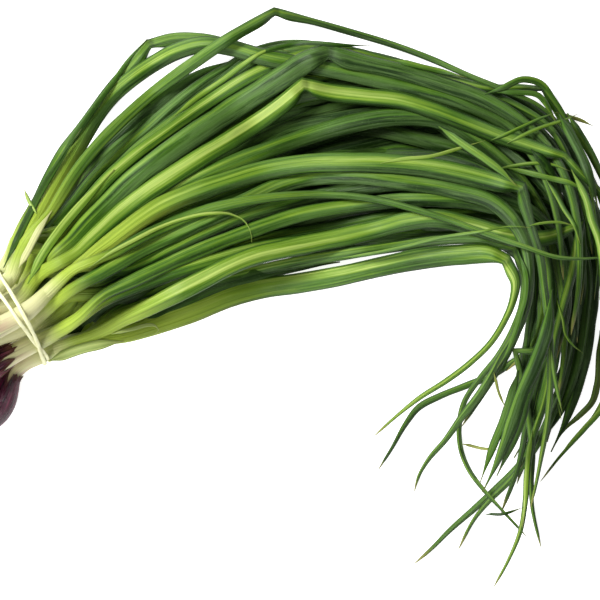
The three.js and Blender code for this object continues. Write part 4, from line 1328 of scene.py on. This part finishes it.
def make_roots(node, number):
    line, _, _ = shank_line(node)
    outward = line[0] - line[3]
    outward /= np.linalg.norm(outward)
    source = random.Random(500 + number)
    tufts = []
    for k in range(ROOTS_PER_BULB):
        offset = np.array([source.gauss(0, 1) for _ in range(3)])
        offset -= outward * (offset @ outward)
        offset /= np.linalg.norm(offset)
        start = line[0] + offset * source.uniform(0.2, 1) * 2.2 * MM - outward * 0.6 * MM
        walk = root_walk(start, outward + 0.55 * offset, source.randint(4, 10), source)
        radius = np.linspace(0.42, 0.2, len(walk)) * MM
        marks = {"root_seed": source.uniform(0, 1)}
        grid = tube_round(walk, radius, ROOT_CORNERS)
        tufts.append(loft(f"root_{number}_{k}", grid, ROOT_MATERIAL, marks))
    piece = join(tufts, f"{node}_roots")
    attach(piece, "root")
    return piece


roots = [make_roots(node, number + 1) for number, node in enumerate(BULB_NODES)]
print("root tufts:", len(roots))

# %% [markdown]
# ## Laying a strand
# Between the big leaves run many that are only threads: young leaves, torn strips, curled tendrils and
# dead brown ends. A strand on top is laid on the finished surface like a string that sags between its
# supports. A strand underneath runs at a share of the pile's height instead. Both are one flattened tube.

# %% Strand helpers
def surface_tree(pieces):
    vertices, faces = [], []
    for piece in pieces:
        first = len(vertices)
        vertices += [vertex.co.copy() for vertex in piece.data.vertices]
        faces += [[first + v for v in face.vertices] for face in piece.data.polygons]
    return BVHTree.FromPolygons(vertices, faces)


SURFACE = surface_tree(leaves + shanks + skins)
STRAND_STEP = 2.0 * MM
STRAND_SLOPE = 0.35  # the steepest that a strand climbs onto a leaf
STRAND_AROUND = 12


def lay_on_top(line, half_width):
    """Heights for a string that rests on the finished leaves."""
    reach = half_width
    feelers = ((0, 0), (reach, 0), (-reach, 0), (0, reach), (0, -reach))
    heights = []
    for x, y in line:
        tops = [SURFACE.ray_cast(Vector((x + dx, y + dy, ABOVE_ALL)), DOWN, ABOVE_ALL)[0]
                for dx, dy in feelers]
        heights.append(max(0 if top is None else top.z for top in tops))
    heights = np.array(heights)
    index = np.arange(len(heights))
    gaps = np.abs(index[:, None] - index[None, :]) * STRAND_STEP
    return blur((heights[None, :] - gaps * STRAND_SLOPE).max(axis=1), 1.5)


def lay_inside(line, depth):
    """Heights at a share of the pile's height, kept under the leaves on top."""
    heights = np.array([top_of_pile(x, y) for x, y in line]) * depth
    lowest = np.array([heights[max(i - 4, 0):i + 5].min() for i in range(len(heights))])
    return blur(lowest, 4)


def make_strand(name, route, width, tone=0.5, dry=0.0, depth=None, cream=0.0, bloom=0.2, dry_tip=0.3):
    corners = np.array([plan(x, y) for x, y in route])
    line, _ = smooth_stretch(corners, STRAND_STEP)
    half_width = width * STEP / 2
    base = lay_on_top(line, half_width * 0.8) if depth is None else lay_inside(line, depth)
    share = np.linspace(0, 1, len(line))
    to_tip = (1 - share) * len(line) * STRAND_STEP
    number = len(strands) + 1
    taper = (0.12 + 0.88 * smoothstep(share, 0, 0.2)) * (1 - 0.9 * smoothstep(share, 0.6, 1) ** 1.3)
    across_reach = half_width * taper * (1 + 0.08 * wander(len(line), 700 + number, 12 * MM, -1, 1))
    tall = np.maximum(across_reach * 0.42, 0.25 * MM)
    line = np.column_stack([line, np.maximum(base + tall * 0.9, tall + 0.2 * MM)])
    heading = headings(line, [])
    left = level_left(heading)
    angle = 2 * np.pi * (np.arange(STRAND_AROUND) + 0.5) / STRAND_AROUND - np.pi / 2
    out = (np.cos(angle)[None, :] * across_reach[:, None])[:, :, None]
    lift = (np.sin(angle)[None, :] * tall[:, None])[:, :, None]
    grid = line[:, None, :] + left[:, None, :] * out + np.array([0, 0, 1]) * lift
    # painted light and shade: the flank towards the key lamp is marked paler, the sides darker
    side = np.cos(angle)[None, :] * np.where(left @ LIGHT_SIDE > 0, 1, -1)[:, None]
    marks = {
        "leaf_seed": (number * 0.291) % 1,
        "leaf_tone": tone,
        "leaf_painted_light_and_shade": 0.14 * np.clip(side * 3, -1, 1) - EDGE_PAINTED_SHADE * smoothstep(np.abs(side), 0.8, 1),
        "leaf_bloom": bloom,
        "leaf_lime": 0,
        "leaf_cream": cream,
        "leaf_dry": np.maximum(dry, dry_tip * (1 - smoothstep(to_tip, 2 * MM, 9 * MM))),
        "leaf_fold_painted_shade": 0,
    }
    piece = loft(name, grid, LEAF_MATERIAL, marks)
    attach(piece, "root")
    strands.append(piece)


print("triangles that strands rest on:", sum(len(p.data.polygons) for p in leaves + shanks + skins))

# %% [markdown]
# ## Strands on top
# Each one is listed from its foot to its tip, in steps of the view. Width is in those steps too.
# tone, bloom, cream and dry say the same as for a leaf.

# %% Strands on top
STRANDS = {
    "tendril": dict(route=[(90, 268), (112, 253), (136, 240), (160, 228), (185, 219), (210, 214),
        (232, 215), (245, 222), (251, 233), (252, 243)], width=4, tone=0.95),
    "curl_by_the_edge": dict(route=[(112, 334), (124, 331), (136, 328), (147, 325), (156, 326),
        (159, 330), (155, 334)], width=4, tone=1.0, cream=0.3),
    "spike": dict(route=[(38, 214), (31, 203), (25, 189)], width=4, tone=0.85),
    "pale_sheath": dict(route=[(20, 268), (29, 252), (39, 233), (53, 211)],
        width=7, tone=0.9, cream=0.85),
    "thread_under_the_arch": dict(route=[(380, 164), (400, 160), (430, 157), (462, 148), (485, 141)],
        width=4, tone=0.9),
    "dead_tip": dict(route=[(556, 112), (570, 117), (580, 120), (593, 126)], width=4, tone=0.4, dry=0.6),
    "shoulder_thread_1": dict(route=[(490, 141), (505, 135), (520, 128), (547, 116), (556, 113)],
        width=4, tone=0.64, bloom=0.5),
    "shoulder_thread_2": dict(route=[(506, 144), (520, 137), (540, 128), (567, 119), (578, 114)],
        width=4, tone=0.6, bloom=0.5),
    "shoulder_thread_3": dict(route=[(495, 170), (510, 167), (530, 164), (550, 165), (570, 172)],
        width=4, tone=0.6),
    "shoulder_thread_4": dict(route=[(505, 168), (530, 174), (550, 179), (570, 184), (590, 196)],
        width=6, tone=0.5),
    "right_thread_1": dict(route=[(567, 113), (577, 131), (585, 145), (593, 160), (600, 176), (606, 200)],
        width=8, tone=0.45),
    "right_thread_2": dict(route=[(570, 170), (578, 185), (585, 200), (590, 220), (597, 240), (600, 262),
        (598, 300)], width=8, tone=0.62),
    "right_thread_3": dict(route=[(545, 180), (555, 195), (563, 210), (572, 224), (579, 245)],
        width=5, tone=0.5),
    "pale_bit": dict(route=[(528, 226), (538, 224), (560, 223), (572, 226)], width=3, tone=0.6),
    "inner_thread": dict(route=[(516, 250), (524, 275), (524, 295), (519, 315), (513, 335), (506, 352),
        (496, 368)], width=6, tone=0.5),
    "dark_end": dict(route=[(550, 290), (545, 330), (533, 365), (520, 395), (512, 420), (505, 440),
        (495, 465), (482, 492)], width=14, tone=0.24),
    "dark_end_2": dict(route=[(545, 330), (535, 365), (525, 395), (519, 420), (510, 445), (496, 476)],
        width=12, tone=0.34),
    "dark_end_3": dict(route=[(518, 370), (511, 395), (504, 418), (494, 443), (480, 482)],
        width=9, tone=0.2),
    "ragged_end": dict(route=[(600, 330), (599, 360), (597, 385), (592, 402), (580, 415), (566, 428),
        (556, 442)], width=7, tone=0.25, dry=0.15),
    "lower_sheath": dict(route=[(49, 361), (62, 356), (78, 350), (98, 345), (124, 341)],
        width=11, tone=0.85, cream=0.3),
    "outer_dark_leaf_2": dict(route=[(58, 162), (80, 130), (97, 105), (115, 80), (131, 57), (148, 38)],
        width=6, tone=0.3),
    "leaf_by_the_sheath": dict(route=[(29, 284), (36, 270), (46, 252), (60, 232), (78, 210), (98, 188),
        (115, 170)], width=10, tone=0.72, bloom=0.1),
    "leaf_below_the_arch": dict(route=[(438, 127), (449, 135), (464, 146), (482, 158), (500, 172),
        (516, 187)], width=8, tone=0.46, bloom=0.3),
    "right_dark": dict(route=[(558, 114), (570, 136), (581, 158), (590, 182), (597, 208)],
        width=10, tone=0.15),
    "arch_thread": dict(route=[(392, 60), (412, 65), (432, 70), (466, 78)], width=6, tone=0.4),
    "corner_thread": dict(route=[(496, 93), (518, 93), (538, 96), (549, 110), (557, 126)],
        width=6, tone=0.25),
    "shoulder_dark": dict(route=[(530, 150), (545, 165), (555, 182), (562, 205)], width=9, tone=0.1),
    "brown_thread_1": dict(route=[(462, 444), (468, 445), (480, 448), (500, 450)],
        width=3, tone=0.5, dry=0.5),
    "dark_thread": dict(route=[(484, 515), (488, 514), (500, 514), (523, 507)], width=3, tone=0.2),
    "brown_thread_2": dict(route=[(493, 372), (495, 380), (498, 392), (505, 408)],
        width=3, tone=0.5, dry=0.5),
    "low_end": dict(route=[(532, 430), (528, 455), (526, 480), (525, 500), (522, 527)],
        width=6, tone=0.55),
    "light_bit_1": dict(route=[(556, 300), (562, 320), (565, 335), (572, 345), (582, 353)],
        width=3, tone=0.7),
    "light_bit_2": dict(route=[(550, 350), (552, 370), (556, 390), (561, 412)], width=4, tone=0.6),
    "right_fall_3": dict(route=[(614, 380), (602, 408), (583, 430), (568, 447), (552, 468)],
        width=6, tone=0.45),
    "long_thread_2": dict(route=[(330, 260), (365, 255), (400, 248), (440, 238), (480, 232), (508, 227),
        (530, 228)], width=4, tone=0.5),
    "outer_dark_leaf": dict(route=[(5, 268), (17, 243), (32, 212), (45, 187), (64, 156), (82, 129)],
        width=7, tone=0.25),
    "top_light_leaf": dict(route=[(170, 120), (200, 96), (225, 79), (245, 64), (262, 53), (274, 49),
        (290, 52)], width=6, tone=0.7),
    "top_dark_leaf": dict(route=[(250, 56), (280, 48), (300, 44), (345, 46), (370, 46)],
        width=5, tone=0.3),
    "corner_leaf": dict(route=[(484, 95), (503, 88), (522, 80), (540, 84), (553, 100), (567, 121),
        (580, 142)], width=7, tone=0.26),
}

strands = []
for name, strand in STRANDS.items():
    make_strand(name, **strand)
print("strands on top:", len(strands))

# %% [markdown]
# ## Inner leaves
# A real bunch is never hollow, but the solids leave gaps through which the table would shine. Inner
# leaves fill them, coloured nearly black: painted shade, for the shadow deep in the pile. They are made
# up: no solid of the frame stands behind them, and they run through the leaves round them, which shows
# only as dark leaves in the gaps.

# %% Inner leaves
BASE_FILLERS = [
    [(15, 300), (30, 275), (50, 250), (75, 222), (105, 190)],
    [(35, 322), (60, 297), (90, 270), (125, 243)],
    [(8, 272), (24, 245), (40, 220), (62, 188)],
    [(50, 320), (80, 302), (115, 285), (155, 266)],
    [(40, 285), (65, 255), (95, 225), (130, 190)],
    [(25, 312), (48, 290), (76, 262), (108, 232), (150, 200)],
    [(18, 262), (36, 235), (58, 205), (86, 170)],
    [(45, 330), (75, 308), (112, 290), (150, 276), (200, 258)],
]
INNER_ROUTES = [
    [(540, 200), (556, 240), (560, 290), (555, 340), (545, 390), (530, 430), (514, 458)],
    [(560, 190), (575, 240), (578, 300), (570, 350), (558, 400), (547, 442)],
    [(520, 240), (534, 280), (536, 330), (528, 380), (515, 420), (499, 452)],
    [(585, 220), (592, 270), (588, 330), (578, 380), (566, 420), (551, 452)],
    [(500, 110), (535, 130), (560, 160), (578, 200), (586, 250), (582, 310)],
    [(430, 95), (480, 105), (525, 128), (558, 165), (574, 215), (572, 280)],
    [(330, 130), (390, 118), (450, 122), (500, 140), (540, 175), (558, 230), (555, 300)],
    [(300, 150), (360, 135), (430, 136), (490, 155), (528, 190), (545, 245), (545, 320)],
    [(180, 280), (250, 258), (330, 245), (410, 235), (490, 232), (540, 255), (550, 320), (543, 380)],
    [(200, 262), (270, 242), (350, 228), (430, 224), (505, 236), (530, 280), (528, 340)],
    [(120, 235), (170, 192), (230, 150), (280, 120), (320, 112), (370, 110), (430, 122), (490, 145)],
    [(150, 240), (210, 207), (270, 182), (330, 166), (390, 152), (450, 150), (500, 160), (535, 190)],
    [(100, 250), (170, 218), (240, 192), (300, 172), (360, 156), (420, 152), (480, 160)],
    [(540, 140), (565, 165), (582, 200), (590, 240), (590, 290)],
    [(120, 262), (180, 236), (240, 214), (300, 197), (370, 188), (440, 190), (500, 204), (535, 235)],
]
GAP_FILLERS = [
    [(58, 222), (80, 180), (97, 158), (115, 140), (140, 117), (165, 99), (190, 82), (215, 66)],
    [(110, 150), (135, 124), (160, 102), (185, 84), (212, 70), (240, 58)],
    [(110, 331), (135, 322), (162, 311), (187, 300), (210, 289), (240, 279), (270, 272), (310, 266),
     (340, 262)],
    [(52, 342), (75, 328), (98, 312), (120, 301), (145, 289), (170, 278)],
    [(28, 302), (40, 286), (55, 268), (75, 248)],
    [(320, 158), (355, 150), (390, 143), (430, 141), (470, 146)],
    [(60, 338), (85, 318), (112, 299), (140, 285), (175, 270)],
    [(62, 215), (88, 178), (112, 152), (150, 120), (190, 92)],
]
INNER_WIDTH = 15
INNER_DEPTHS = (0.3, 0.45, 0.6)  # shares of the pile's height, taken in turn
GAP_DEPTH = (0.15,)
INNER_GROUPS = ((BASE_FILLERS, INNER_DEPTHS, 0.1), (INNER_ROUTES, INNER_DEPTHS, 0.0),
                (GAP_FILLERS, GAP_DEPTH, 0.0))

number = 0
for routes, depths, cream in INNER_GROUPS:
    for route in routes:
        # painted shade: the inner leaves get nearly black tones
        tone = 0.02 + 0.16 * ((number * 0.618) % 1)
        depth = depths[number % len(depths)]
        make_strand(f"inner_leaf_{number + 1}", route, INNER_WIDTH, tone=tone, depth=depth, cream=cream)
        number += 1
print("strands and inner leaves:", len(strands))
